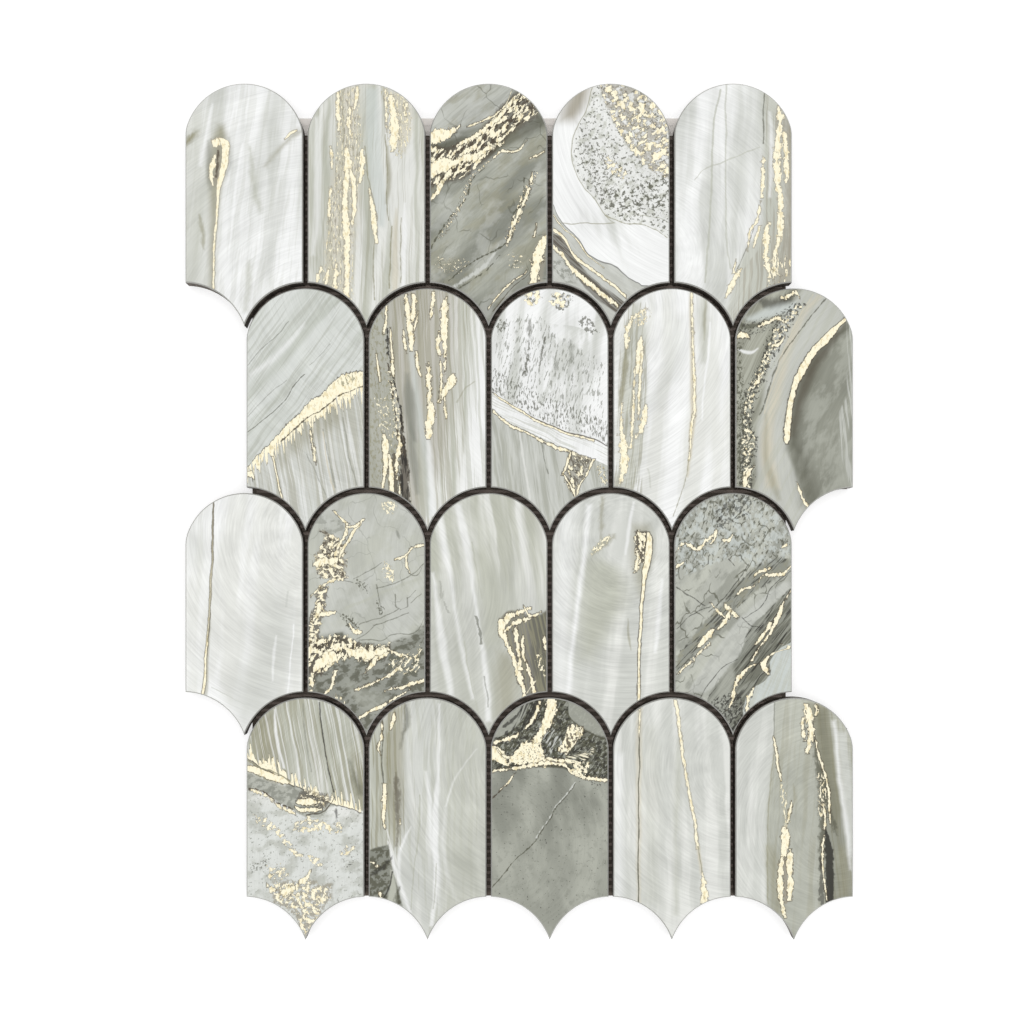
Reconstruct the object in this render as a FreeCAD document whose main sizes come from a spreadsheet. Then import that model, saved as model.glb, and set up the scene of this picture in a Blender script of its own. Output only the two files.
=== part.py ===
# A mosaic sheet of fish scale chips for a wall, in millimetres.
#
# Each chip is a tall scale cut from one panel: a round crown, straight sides, and two hollow
# valleys that meet in a tip at its foot. Every other row stands half a chip to the right, so
# that the crowns of one row nest in the valleys of the row above. An open net, trimmed in
# steps a little inside the chips, is glued to their backs and keeps the joints even.
#
# X runs along the rows, Y up the wall and Z out of the faces. The origin is at the middle of
# the sheet, on the underside of the net.
import FreeCAD, Part
import math
import os
import Sketcher

PARTS_FOLDER = "parts"

# Driving sizes: name, value, what it measures.
SIZES = [
    ("chips_in_row", 5, "chips side by side in each row"),
    ("row_count", 4, "rows of chips"),
    ("chip_width", 41.2, "across a chip's straight sides"),
    ("chip_thickness", 5.0, "panel that the chips are cut from"),
    ("crown_excess", 0.5, "crown's radius beyond half the chip's width"),
    ("shoulder_radius", 12.0, "blend from the crown to a straight side"),
    ("rim_chamfer", 0.4, "bright chamfer round the face"),
    ("side_joint", 1.6, "gap between neighbours in a row"),
    ("crown_joint", 2.0, "gap between a crown and the valleys above it"),
    ("row_pitch", 71.7, "from the crowns of one row to the next"),
    ("net_thickness", 0.5, "net with its glue"),
    ("net_inset", 2.4, "net's edge inside the chips' sides"),
    ("net_top_drop", 10.3, "net's top edge below the tops of the crowns"),
    ("net_foot_rise", 0.3, "net's lower edge above the ends of the chips' straight sides"),
]

# Sizes worked out from the driving ones: name, formula, what it measures.
WORKED_OUT = [
    ("chip_pitch", "=chip_width + side_joint", "from chip to chip along a row"),
    ("row_shift", "=chip_pitch / 2", "every other row's step to the right"),
    ("crown_radius", "=chip_width / 2 + crown_excess", "arc of a crown"),
    ("valley_radius", "=crown_radius + side_joint", "hollow arc round the crown below"),
    ("valley_drop", "=row_pitch - (crown_joint - side_joint)",
     "from a crown's centre down to its valleys' centres"),
    ("tip_drop", "=valley_drop - sqrt(valley_radius ^ 2 - row_shift ^ 2)",
     "from a crown's centre down to the chip's tip"),
    ("corner_drop", "=valley_drop - sqrt(valley_radius ^ 2 - (side_joint / 2) ^ 2)",
     "from a crown's centre down to the ends of the straight sides"),
    ("sheet_width", "=chip_pitch * (chips_in_row - 1) + chip_width + row_shift", "over all, along X"),
    ("sheet_height", "=row_pitch * (row_count - 1) + crown_radius + tip_drop", "over all, along Y"),
]


def make_size_table(doc):
    """Write the sizes and formulas to a spreadsheet, each under its own alias."""
    table = doc.addObject("Spreadsheet::Sheet", "Sizes")
    for line, (alias, content, note) in enumerate(SIZES + WORKED_OUT, start=1):
        table.set(f"A{line}", alias)
        table.set(f"B{line}", str(content))
        table.set(f"C{line}", note)
        table.setAlias(f"B{line}", alias)
    doc.recompute()
    return table


def origin_plane(body, role):
    """The body's own origin plane that has this role."""
    return next(plane for plane in body.Origin.OriginFeatures if plane.Role == role)


def arc(centre, radius, start, end):
    """Counter-clockwise arc between two angles in radians."""
    circle = Part.Circle(centre, FreeCAD.Vector(0, 0, 1), radius)
    return Part.ArcOfCircle(circle, start, end)


def bind(sketch, kind, places, expression):
    """Add a dimension to the sketch and bind it to the size table."""
    start_value = sketch.Document.getObject("Sizes").evalExpression(expression)
    number = sketch.addConstraint(Sketcher.Constraint(kind, *places, float(start_value)))
    sketch.setExpression(f"Constraints[{number}]", expression)


def draw_chip_outline(body, table):
    """Sketch one chip's outline, with the crown's centre at the sketch's origin."""
    sketch = body.newObject("Sketcher::SketchObject", "ChipOutline")
    sketch.AttachmentSupport = (origin_plane(body, "XY_Plane"), [""])
    sketch.MapMode = "FlatFace"

    half_width = table.chip_width / 2
    shoulder_x = half_width - table.shoulder_radius
    shoulder_y = math.sqrt((table.crown_radius - table.shoulder_radius) ** 2 - shoulder_x ** 2)
    shoulder_angle = math.atan2(shoulder_y, shoulder_x)
    tip_angle = math.atan2(table.valley_drop - table.tip_drop, table.row_shift)
    corner_angle = math.atan2(table.valley_drop - table.corner_drop, table.side_joint / 2)
    half_turn = math.pi
    middle = FreeCAD.Vector(0, 0, 0)
    left_shoulder_centre = FreeCAD.Vector(-shoulder_x, shoulder_y, 0)
    right_shoulder_centre = FreeCAD.Vector(shoulder_x, shoulder_y, 0)
    left_valley_centre = FreeCAD.Vector(-table.row_shift, -table.valley_drop, 0)
    right_valley_centre = FreeCAD.Vector(table.row_shift, -table.valley_drop, 0)
    left_shoulder_end = FreeCAD.Vector(-half_width, shoulder_y, 0)
    left_corner = FreeCAD.Vector(-half_width, -table.corner_drop, 0)
    right_corner = FreeCAD.Vector(half_width, -table.corner_drop, 0)
    right_shoulder_end = FreeCAD.Vector(half_width, shoulder_y, 0)

    crown, left_shoulder, left_side, left_valley, right_valley, right_side, right_shoulder = range(7)
    sketch.addGeometry([
        arc(middle, table.crown_radius, shoulder_angle, half_turn - shoulder_angle),
        arc(left_shoulder_centre, table.shoulder_radius, half_turn - shoulder_angle, half_turn),
        Part.LineSegment(left_shoulder_end, left_corner),
        arc(left_valley_centre, table.valley_radius, tip_angle, corner_angle),
        arc(right_valley_centre, table.valley_radius, half_turn - corner_angle, half_turn - tip_angle),
        Part.LineSegment(right_corner, right_shoulder_end),
        arc(right_shoulder_centre, table.shoulder_radius, 0, shoulder_angle),
    ])

    # A point of the outline is a curve's number with 1 for its start, 2 for its end and 3 for
    # its centre. The sketch's origin is point 1 of curve -1.
    start, end, centre = 1, 2, 3
    sketch_origin = (-1, start)
    for first, second in [
        ((crown, centre), sketch_origin),
        ((left_side, end), (left_valley, end)),
        ((left_valley, start), (right_valley, end)),
        ((right_valley, start), (right_side, start)),
    ]:
        sketch.addConstraint(Sketcher.Constraint("Coincident", *first, *second))
    for first, second in [
        ((crown, end), (left_shoulder, start)),
        ((left_shoulder, end), (left_side, start)),
        ((right_side, end), (right_shoulder, start)),
        ((right_shoulder, end), (crown, start)),
    ]:
        sketch.addConstraint(Sketcher.Constraint("Tangent", *first, *second))
    sketch.addConstraint(Sketcher.Constraint("Vertical", left_side))
    sketch.addConstraint(Sketcher.Constraint("Vertical", right_side))
    sketch.addConstraint(Sketcher.Constraint("Equal", left_shoulder, right_shoulder))
    sketch.addConstraint(Sketcher.Constraint("Equal", left_valley, right_valley))

    bind(sketch, "Radius", (crown,), "Sizes.crown_radius")
    bind(sketch, "Radius", (left_shoulder,), "Sizes.shoulder_radius")
    bind(sketch, "Radius", (left_valley,), "Sizes.valley_radius")
    bind(sketch, "DistanceX", (left_side, start, *sketch_origin), "Sizes.chip_width / 2")
    bind(sketch, "DistanceX", (*sketch_origin, right_side, start), "Sizes.chip_width / 2")
    bind(sketch, "DistanceX", (left_valley, centre, *sketch_origin), "Sizes.row_shift")
    bind(sketch, "DistanceX", (*sketch_origin, right_valley, centre), "Sizes.row_shift")
    bind(sketch, "DistanceY", (left_valley, centre, *sketch_origin), "Sizes.valley_drop")
    bind(sketch, "DistanceY", (right_valley, centre, *sketch_origin), "Sizes.valley_drop")
    return sketch


def top_face(shape):
    """Name of the flat face that lies highest along Z."""
    highest = max(range(len(shape.Faces)), key=lambda index: shape.Faces[index].CenterOfMass.z)
    return f"Face{highest + 1}"


def make_chip(doc, table, row, column):
    """One chip: its outline padded to the panel's thickness, with the face's rim chamfered."""
    label = f"chip_row{row + 1}_{column + 1}"
    body = doc.addObject("PartDesign::Body", label)
    body.Label = label

    panel = body.newObject("PartDesign::Pad", "Panel")
    panel.Profile = draw_chip_outline(body, table)
    panel.setExpression("Length", "Sizes.chip_thickness")
    doc.recompute()

    rim = body.newObject("PartDesign::Chamfer", "Rim")
    rim.Base = (panel, [top_face(panel.Shape)])
    rim.setExpression("Size", "Sizes.rim_chamfer")
    body.Tip = rim

    steps_right = column + row % 2 / 2
    body.setExpression(
        "Placement.Base.x",
        f"(Sizes.chip_width - Sizes.sheet_width) / 2 + Sizes.chip_pitch * {steps_right}")
    body.setExpression(
        "Placement.Base.y",
        f"Sizes.sheet_height / 2 - Sizes.crown_radius - Sizes.row_pitch * {row}")
    body.setExpression("Placement.Base.z", "Sizes.net_thickness")
    return body


def net_panel(doc, name, left, right, bottom, top):
    """A rectangle of net between four places, each an expression of the sizes."""
    panel = doc.addObject("Part::Box", name)
    panel.setExpression("Length", f"({right}) - ({left})")
    panel.setExpression("Width", f"({top}) - ({bottom})")
    panel.setExpression("Height", "Sizes.net_thickness")
    panel.setExpression("Placement.Base.x", left)
    panel.setExpression("Placement.Base.y", bottom)
    return panel


def make_net(doc, table):
    """The net: a panel behind all the rows, with a flap behind each row's outer half chip."""
    outer = "(Sizes.sheet_width / 2 - Sizes.net_inset)"
    inner = f"({outer} - Sizes.row_shift)"
    crown_top = "Sizes.sheet_height / 2"
    foot = f"{crown_top} - Sizes.crown_radius - Sizes.corner_drop + Sizes.net_foot_rise"
    top = f"{crown_top} - Sizes.net_top_drop"
    rows_down = f"Sizes.row_pitch * {int(table.row_count) - 1}"
    pieces = [net_panel(doc, "NetPanel", f"-{inner}", inner, f"{foot} - {rows_down}", top)]
    for row in range(int(table.row_count)):
        down = f"Sizes.row_pitch * {row}"
        stands_right = row % 2 == 1
        left, right = ("0", outer) if stands_right else (f"-{outer}", "0")
        pieces.append(net_panel(
            doc, f"NetFlap{row + 1}", left, right, f"{foot} - {down}", f"{top} - {down}"))
    net = doc.addObject("Part::MultiFuse", "mesh_backing")
    net.Label = "mesh_backing"
    net.Shapes = pieces
    net.Refine = True
    return net


def failed(doc):
    """Labels of the objects that did not recompute."""
    return [item.Label for item in doc.Objects if {"Invalid", "Error"} & set(item.State)]


def export(pieces):
    """Write each piece's solid to a file named after it."""
    os.makedirs(PARTS_FOLDER, exist_ok=True)
    for piece in pieces:
        piece.Shape.exportStep(os.path.join(PARTS_FOLDER, f"{piece.Label}.step"))


def main():
    doc = FreeCAD.newDocument("FishScaleSheet")
    table = make_size_table(doc)
    pieces = [
        make_chip(doc, table, row, column)
        for row in range(int(table.row_count))
        for column in range(int(table.chips_in_row))
    ]
    pieces.append(make_net(doc, table))
    doc.recompute()

    broken = failed(doc)
    if broken:
        raise RuntimeError(f"these objects failed: {broken}")
    for piece in pieces:
        shape = piece.Shape
        if shape.isNull() or not shape.isValid() or len(shape.Solids) != 1:
            raise RuntimeError(f"{piece.Label} is not one valid solid")
    export(pieces)
    print(f"{len(pieces)} pieces, {table.sheet_width:.2f} x {table.sheet_height:.2f} mm")


main()
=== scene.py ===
import math

import bpy
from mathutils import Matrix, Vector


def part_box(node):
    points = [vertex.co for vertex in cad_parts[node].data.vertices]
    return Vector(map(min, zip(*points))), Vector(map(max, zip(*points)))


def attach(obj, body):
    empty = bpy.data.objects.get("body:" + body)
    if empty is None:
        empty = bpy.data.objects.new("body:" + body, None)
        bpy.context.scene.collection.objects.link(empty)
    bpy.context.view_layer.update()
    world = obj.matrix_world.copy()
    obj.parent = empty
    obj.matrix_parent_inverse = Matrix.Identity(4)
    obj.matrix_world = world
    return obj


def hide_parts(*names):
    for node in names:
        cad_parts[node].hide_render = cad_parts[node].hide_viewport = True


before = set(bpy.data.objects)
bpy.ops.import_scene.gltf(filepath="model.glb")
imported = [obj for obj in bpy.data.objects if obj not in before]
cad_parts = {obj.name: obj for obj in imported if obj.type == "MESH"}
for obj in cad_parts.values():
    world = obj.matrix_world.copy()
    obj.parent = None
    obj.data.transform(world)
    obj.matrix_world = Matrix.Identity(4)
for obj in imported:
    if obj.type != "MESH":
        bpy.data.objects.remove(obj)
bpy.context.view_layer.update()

MM = 0.001

# The photograph's view: straight down on the sheet, 0.35 mm to a pixel at the chips' faces.
IMAGE_SIZE = 1024
MM_PER_PIXEL = 0.35
SHEET_CENTRE_PIXEL = (519.2, 511.7)
CAMERA_FOOT_PIXEL = (512.0, 580.0)
CAMERA_HEIGHT = 410 * MM
SENSOR_WIDTH_MM = 36.0

# Read from the light spots in the photograph's upright joints, one every 7 pixels or so.
NET_PITCH = 2.5 * MM
NET_THREAD_WIDTH = 0.8 * MM
NET_CROSS_THREAD_WIDTH = NET_THREAD_WIDTH * 1.2
NET_TOP_EDGE_WIDTH = 6.2 * MM
NET_TOP_EDGE_SOFT = 0.2 * MM
NET_UPRIGHTS_PER_HALF_CHIP = 8

# Heights in the net, as shares of its thickness: where the film of glue ends and how thick it is,
# and where the crosswise threads start. The upright ones start at the underside.
NET_GLUE_TOP = 0.8
NET_GLUE_SHARE = 0.2
NET_CROSS_FOOT = 0.2
# How far the glue film reaches past the threads at the left and right edges, and at the lower one, carrying
# its painted shade to the ends of the joints.
NET_GLUE_OVER = 1.7 * MM
NET_GLUE_BELOW = 1.2 * MM

# The random textures of one chip are read this many clouds apart, so that no two look alike.
TEXTURE_STEP = (137.3, 221.9)
# Grain lies mostly within 0.2 of its middle, and this many times that is a whole ragged width.
FRAY_GAIN = 5

# The drawn edges waver this far, in waves of this size. Then how soft a line and the foil are at
# their edges, and how wide and strong the outline of the gold is.
WAVER_REACH_MM = 0.55
WAVER_SIZE_MM = 5
LINE_EDGE_MM = (-0.2, 0.12)
FOIL_EDGE_MM = (-0.08, 0.1)
OUTLINE_MM = 0.45
OUTLINE_STRENGTH = 0.8

# Marks of the brushing disc: fine rings in wide sweeps, which fade out towards its centre. The rings are
# real grooves, also painted into the colour as sheen; the sweeps are painted sheen.
RINGS_CONTRAST = 6.5
SWEEPS_CONTRAST = 5
SWEEP_WIDTH_MM = 8
BRUSH_FADE_MM = (2, 16)
BRUSH_BUMP = 0.12
BRUSH_DEPTH = 0.05 * MM

# How far up a surface faces to count as the printed face or the rim, and how far down as the back.
FACE_TILT = (0.9, 0.95)
RIM_TILT = (0.3, 0.35)
BACK_TILT = (0.5, 0.6)

FACE_ROUGHNESS = 0.46
RIM_ROUGHNESS = 0.42
SIDE_ROUGHNESS = 0.78
GOLD_GLOSS = 0.12
FACE_METAL = 0.12
GOLD_METAL = 0.3
RIM_METAL = 0.35
BACK_METAL = 0.5
SATIN_SPECULAR = 0.3
MATT = 0.8

FLOOR_WIDTH = 8.0
FLOOR_GREY = (0.62, 0.62, 0.62, 1)
# A faint glow keeps the floor as white as the photograph's blank ground.
FLOOR_GLOW = (1, 1, 1, 1)
FLOOR_GLOW_STRENGTH = 0.5

# The room's light from the horizon, at height 0, to right overhead, at height 1.
ROOM_LEVELS = ((0.0, 0.35), (0.45, 0.6), (0.6, 1.0), (1.0, 1.0))
ROOM_STRENGTH = 1.2


def display(red, green, blue):
    """A colour as a screen shows it, 0 to 255, turned into the shader's own numbers."""
    def linear(value):
        share = value / 255
        return share / 12.92 if share <= 0.04045 else ((share + 0.055) / 1.055) ** 2.4
    return (linear(red), linear(green), linear(blue), 1.0)


WHITE = display(238, 239, 238)
PEARL = display(222, 223, 218)
SILVER = display(201, 203, 197)
MIST = display(199, 205, 201)
SAGE = display(183, 185, 172)
STONE = display(168, 170, 159)
SLATE = display(132, 134, 124)
OLIVE = display(146, 143, 118)
BEIGE = display(206, 199, 178)
TAUPE = display(156, 150, 134)
MOSS = display(82, 82, 66)
BROWN = display(74, 64, 50)
INK = display(38, 36, 31)
GOLD = display(248, 241, 214)
GOLD_SHADE = display(224, 210, 168)
GOLD_EDGE = display(94, 83, 62)
CORE = display(80, 74, 67)
CORE_PALE = display(106, 98, 90)
BACK_SKIN = display(168, 168, 164)
# Painted shade: the rim's own grey is darkened to stand for the shading along the chips' edges.
RIM_SHADED = display(176, 176, 171)
# Painted shade: the net's threads and its glue film get the dark of the shade they lie in between the chips.
# The pale colour along the net's top edge and under its threads is the net's own, made brighter as painted
# light against the shade in the notches.
NET_THREAD_SHADED = display(138, 126, 118)
NET_GLUE_SHADED = display(96, 87, 78)
NET_GLUE_BACK = display(150, 146, 140)
NET_TOP_EDGE = display(250, 245, 239)


def connect(tree, value, socket):
    """Link a field or socket to an input, or set the input to a plain value."""
    if isinstance(value, Field):
        tree.links.new(value.socket, socket)
    elif isinstance(value, bpy.types.NodeSocket):
        tree.links.new(value, socket)
    else:
        socket.default_value = value


class Field:
    """A number that varies over a surface: one output of a node in a material."""

    def __init__(self, tree, socket):
        self.tree = tree
        self.socket = socket

    def math(self, operation, *values):
        """One of Blender's sums on fields and plain numbers."""
        node = self.tree.nodes.new("ShaderNodeMath")
        node.operation = operation
        for socket, value in zip(node.inputs, values):
            connect(self.tree, value, socket)
        return Field(self.tree, node.outputs[0])

    def __add__(self, other):
        return self.math("ADD", self, other)

    def __sub__(self, other):
        return self.math("SUBTRACT", self, other)

    def __rsub__(self, other):
        return self.math("SUBTRACT", other, self)

    def __mul__(self, other):
        return self.math("MULTIPLY", self, other)

    def __neg__(self):
        return self.math("MULTIPLY", self, -1)

    def absolute(self):
        return self.math("ABSOLUTE", self)

    def least(self, other):
        return self.math("MINIMUM", self, other)

    def most(self, other):
        return self.math("MAXIMUM", self, other)

    def spread(self, low, high, kind="LINEAR"):
        """Its place between two values, from 0 to 1 and no further."""
        node = self.tree.nodes.new("ShaderNodeMapRange")
        node.interpolation_type = kind
        connect(self.tree, self, node.inputs["Value"])
        node.inputs["From Min"].default_value = low
        node.inputs["From Max"].default_value = high
        return Field(self.tree, node.outputs["Result"])

    def rise(self, low, high):
        """0 below one value, 1 above the other, and a smooth step between them."""
        return self.spread(low, high, "SMOOTHSTEP")


class Print:
    """The printed face of one chip, painted layer over layer.

    Places are in millimetres: the first number from the chip's left side, the second down
    from the top of its crown. A path is a list of such places, each with a half width where
    the path is a stroke; it runs mostly down or mostly across, and half widths lie the
    other way.
    """

    def __init__(self, name):
        low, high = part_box(name)
        self.material = bpy.data.materials.new("print_" + name)
        self.material.use_nodes = True
        self.tree = self.material.node_tree
        self.shader = self.tree.nodes["Principled BSDF"]
        self.seed = 0
        self.colour = PEARL
        self.gold = None
        self.trim(GOLD_EDGE)
        coordinates = self.tree.nodes.new("ShaderNodeTexCoord")
        place = self.mapping(coordinates.outputs["Object"], "POINT")
        place.inputs["Location"].default_value = (-low.x / MM, high.y / MM, 0)
        place.inputs["Scale"].default_value = (1 / MM, -1 / MM, 1 / MM)
        self.place = place.outputs["Vector"]
        self.across, self.down = self.split(self.pushed(WAVER_SIZE_MM, WAVER_REACH_MM))
        self.grit = self.grain(1.3, 2.2, detail=3, rough=0.65)

    def mapping(self, vector, kind):
        """A node that moves, turns and scales places."""
        node = self.tree.nodes.new("ShaderNodeMapping")
        node.vector_type = kind
        connect(self.tree, vector, node.inputs["Vector"])
        return node

    def split(self, vector):
        """The first two numbers of a vector."""
        parts = self.tree.nodes.new("ShaderNodeSeparateXYZ")
        connect(self.tree, vector, parts.inputs[0])
        return Field(self.tree, parts.outputs["X"]), Field(self.tree, parts.outputs["Y"])

    def cloud(self, kind, place, wide, long, lean):
        """A random texture whose clouds are this wide and this long. They stand upright at
        lean 0, and their lower ends swing right by lean degrees."""
        self.seed += 1
        space = self.mapping(place or self.place, "TEXTURE")
        across, down = [self.seed * step for step in TEXTURE_STEP]
        space.inputs["Location"].default_value = (across, down, 0)
        space.inputs["Rotation"].default_value = (0, 0, -math.radians(lean))
        space.inputs["Scale"].default_value = (wide, long, wide)
        node = self.tree.nodes.new(kind)
        connect(self.tree, space.outputs["Vector"], node.inputs["Vector"])
        node.inputs["Scale"].default_value = 1
        return node

    def grain(self, wide, long, lean=0, detail=3, rough=0.55, place=None, dimensions="2D"):
        """Random clouds, mostly between 0.3 and 0.7."""
        noise = self.cloud("ShaderNodeTexNoise", place, wide, long, lean)
        noise.noise_dimensions = dimensions
        noise.inputs["Detail"].default_value = detail
        noise.inputs["Roughness"].default_value = rough
        return Field(self.tree, noise.outputs["Fac"])

    def pushed(self, size, amount, lean=0):
        """The places on the face, pushed about by up to half an amount."""
        noise = self.cloud("ShaderNodeTexNoise", None, size, size * 1.6, lean)
        noise.noise_dimensions = "2D"
        noise.inputs["Detail"].default_value = 2
        push = self.tree.nodes.new("ShaderNodeVectorMath")
        push.operation = "MULTIPLY_ADD"
        connect(self.tree, noise.outputs["Color"], push.inputs[0])
        push.inputs[1].default_value = (amount * 2, amount * 2, 0)
        connect(self.tree, self.place, push.inputs[2])
        centred = self.mapping(push.outputs["Vector"], "POINT")
        centred.inputs["Location"].default_value = (-amount, -amount, 0)
        return centred.outputs["Vector"]

    def graph(self, share, values):
        """Height over a share, from 0 to 1, of a smooth line through (share, height) points, and
        a plain number where they lie level."""
        lowest = min(height for _, height in values)
        highest = max(height for _, height in values)
        if highest - lowest < 1e-6:
            return lowest
        node = self.tree.nodes.new("ShaderNodeFloatCurve")
        connect(self.tree, share, node.inputs["Value"])
        curve = node.mapping.curves[0]
        for _ in values[2:]:
            curve.points.new(0.5, 0.5)
        for point, (position, height) in zip(curve.points, values):
            point.location = (position, (height - lowest) / (highest - lowest))
            point.handle_type = "AUTO_CLAMPED"
        node.mapping.update()
        return Field(self.tree, node.outputs[0]) * (highest - lowest) + lowest

    def follow(self, path):
        """How far right of a path each place lies, or below one that runs across; how far
        beyond its ends; and its half width there."""
        runs_down = abs(path[-1][1] - path[0][1]) >= abs(path[-1][0] - path[0][0])
        along, aside = (1, 0) if runs_down else (0, 1)
        path = sorted(path, key=lambda point: point[along])
        start, end = path[0][along], path[-1][along]
        position, sideways = (self.down, self.across) if runs_down else (self.across, self.down)
        share = position.spread(start, end)
        shares = [(point[along] - start) / (end - start) for point in path]
        offset = sideways - self.graph(share, [(s, point[aside]) for s, point in zip(shares, path)])
        beyond = (position - (start + end) / 2).absolute() - (end - start) / 2
        half = None
        if len(path[0]) > 2:
            half = self.graph(share, [(s, point[2]) for s, point in zip(shares, path)])
        return offset, beyond, half

    def frayed(self, field, ragged):
        """A field whose edges are frayed by about this many millimetres."""
        return field + (self.grit - 0.5) * (ragged * FRAY_GAIN) if ragged else field

    def side(self, path, ragged=0.0):
        """How far right of a path each place lies, or below one that runs across."""
        return self.frayed(self.follow(path)[0], ragged)

    def stroke(self, path, ragged=0.0):
        """How far inside a stroke each place lies, and below 0 outside it."""
        offset, beyond, half = self.follow(path)
        return self.frayed(-offset.absolute() + half, ragged).least(-beyond)

    def lay(self, colour, amount=1.0):
        """Paint a colour over what is there, by an amount from 0 to 1."""
        node = self.tree.nodes.new("ShaderNodeMix")
        node.data_type = "RGBA"
        connect(self.tree, amount, node.inputs["Factor"])
        connect(self.tree, self.colour, node.inputs["A"])
        connect(self.tree, colour, node.inputs["B"])
        self.colour = node.outputs["Result"]

    def fill(self, colour, inside, soft=0.3, strength=1.0):
        """Paint where a field is above 0."""
        self.lay(colour, inside.rise(-soft, soft) * strength)

    def wash(self, colour, path, soft, strength=1.0, ragged=0.0):
        """A stroke of thin paint with soft edges."""
        self.fill(colour, self.stroke(path, ragged), soft, strength)

    def line(self, colour, path, half=0.13, strength=0.8, ragged=0.1):
        """A fine drawn line."""
        path = [(across, down, half) for across, down in path]
        self.lay(colour, self.stroke(path, ragged).rise(*LINE_EDGE_MM) * strength)

    def seam(self, colour, offset, half=0.13, strength=0.8):
        """A fine line where a field passes 0."""
        self.lay(colour, (-offset.absolute() + half).rise(*LINE_EDGE_MM) * strength)

    def trim(self, edge, outline=OUTLINE_MM):
        """Choose the colour and width of the gold's outline from here on."""
        self.edge = edge
        self.outline = outline

    def foil(self, inside, outline=None, edge=None):
        """Pale gold with a darker outline, where a field is above 0."""
        outline = outline or self.outline
        self.lay(edge or self.edge, inside.rise(-outline, -outline * 0.25) * OUTLINE_STRENGTH)
        self.gild(inside.rise(*FOIL_EDGE_MM))

    def gild(self, amount):
        """Lay gold by an amount from 0 to 1: pale, with warmer patches and dark pits."""
        if self.gold is None:
            patches = self.grain(1.1, 2.4, detail=3, rough=0.6)
            ground, self.colour = self.colour, GOLD
            self.lay(GOLD_SHADE, patches.rise(0.5, 0.68) * 0.8)
            pits = self.grain(1.1, 2.0, detail=2)
            self.lay(GOLD_EDGE, pits.rise(0.64, 0.74) * 0.35)
            self.gold_colour, self.colour = self.colour, ground
        self.lay(self.gold_colour, amount)
        self.gold = amount if self.gold is None else self.gold.most(amount)

    def vein(self, path, ragged=0.2, outline=None, edge=None):
        """A stroke of gold foil."""
        self.foil(self.stroke(path, ragged), outline, edge)

    def froth(self, region, wide, long, lean=0, gold=0.58, dark=0.52, edge=BROWN, strength=0.8):
        """Flecks of gold with dark rims, scattered where a field is above 0."""
        flecks = self.grain(wide, long, lean, 4, 0.62) + region.spread(-2, 0.5) * 0.4 - 0.4
        self.lay(edge, flecks.rise(dark, dark + 0.04) * strength)
        self.gild(flecks.rise(gold, gold + 0.015))

    def specks(self, region, wide, long, lean=0, level=0.58, colour=BROWN, strength=0.8):
        """Dark or pale flecks, scattered where a field is above 0."""
        flecks = self.grain(wide, long, lean, 4, 0.6) + region.spread(-2, 1) * 0.4 - 0.4
        self.lay(colour, flecks.rise(level, level + 0.06) * strength)

    def cracks(self, region, size, lean=0, half=0.02, colour=MOSS, strength=0.7):
        """A net of cracks between stones of this size, where a field is above 0."""
        place = self.pushed(size * 0.6, size * 0.35)
        cells = self.cloud("ShaderNodeTexVoronoi", place, size, size * 1.5, lean)
        cells.voronoi_dimensions = "2D"
        cells.feature = "DISTANCE_TO_EDGE"
        distance = Field(self.tree, cells.outputs["Distance"])
        patchy = self.grain(size, size, detail=1).rise(0.42, 0.56)
        self.lay(colour, (-distance + half * 2).rise(0, half) * region.rise(-1, 1) * patchy * strength)

    def ground(self, light, dark, lean=0, wide=5.0, long=60.0, fine=0.15, low=0.38, high=0.6, bend=1.6):
        """Soft bands from one colour to another, with finer bands over them."""
        place = self.pushed(12, bend, lean)
        tone = self.grain(wide, long, lean, 2, 0.5, place) * (1 - fine)
        tone = tone + self.grain(wide / 5, long / 2, lean, 3, 0.6, place) * fine
        self.lay(dark)
        self.lay(light, tone.rise(low, high))

    def bands(self, colour, region, lean=0, wide=1.2, long=40, level=0.52, soft=0.06, strength=0.6):
        """Fine streaks where a field is above 0."""
        tone = self.grain(wide, long, lean, 2, 0.6, self.pushed(12, 0.9, lean))
        self.lay(colour, tone.rise(level - soft, level + soft) * region.rise(-0.4, 0.4) * strength)

    def mottle(self, colour, region, wide, long, lean=0, low=0.42, high=0.62, strength=0.7):
        """Soft blots where a field is above 0."""
        tone = self.grain(wide, long, lean, 4, 0.6)
        self.lay(colour, tone.rise(low, high) * region.rise(-0.6, 0.6) * strength)

    def everywhere(self):
        """A field that is above 0 all over the face."""
        return self.down * 0 + 10

    def brush(self, centre, strength=0.06, pitch=0.5):
        """Marks of the brushing disc about a centre: fine rings, in lighter and darker sweeps of painted
        sheen.
        """
        offset = self.mapping(self.place, "POINT")
        offset.inputs["Location"].default_value = (-centre[0], -centre[1], 0)
        offset.inputs["Scale"].default_value = (1, 1, 0)

        def of_offset(operation):
            node = self.tree.nodes.new("ShaderNodeVectorMath")
            node.operation = operation
            connect(self.tree, offset.outputs["Vector"], node.inputs[0])
            return node.outputs

        radius = Field(self.tree, of_offset("LENGTH")["Value"])
        x, y = self.split(of_offset("NORMALIZE")["Vector"])

        def marks(arcs, ring, detail, rough):
            place = self.tree.nodes.new("ShaderNodeCombineXYZ")
            for name, value in (("X", x * arcs), ("Y", y * arcs), ("Z", radius * (1 / ring))):
                connect(self.tree, value, place.inputs[name])
            return self.grain(1, 1, 0, detail, rough, place.outputs["Vector"], "3D")

        self.rings = marks(3.0, pitch, 3, 0.7)
        sweeps = marks(2.2, SWEEP_WIDTH_MM, 2, 0.6)
        fade = radius.rise(*BRUSH_FADE_MM)
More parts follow.
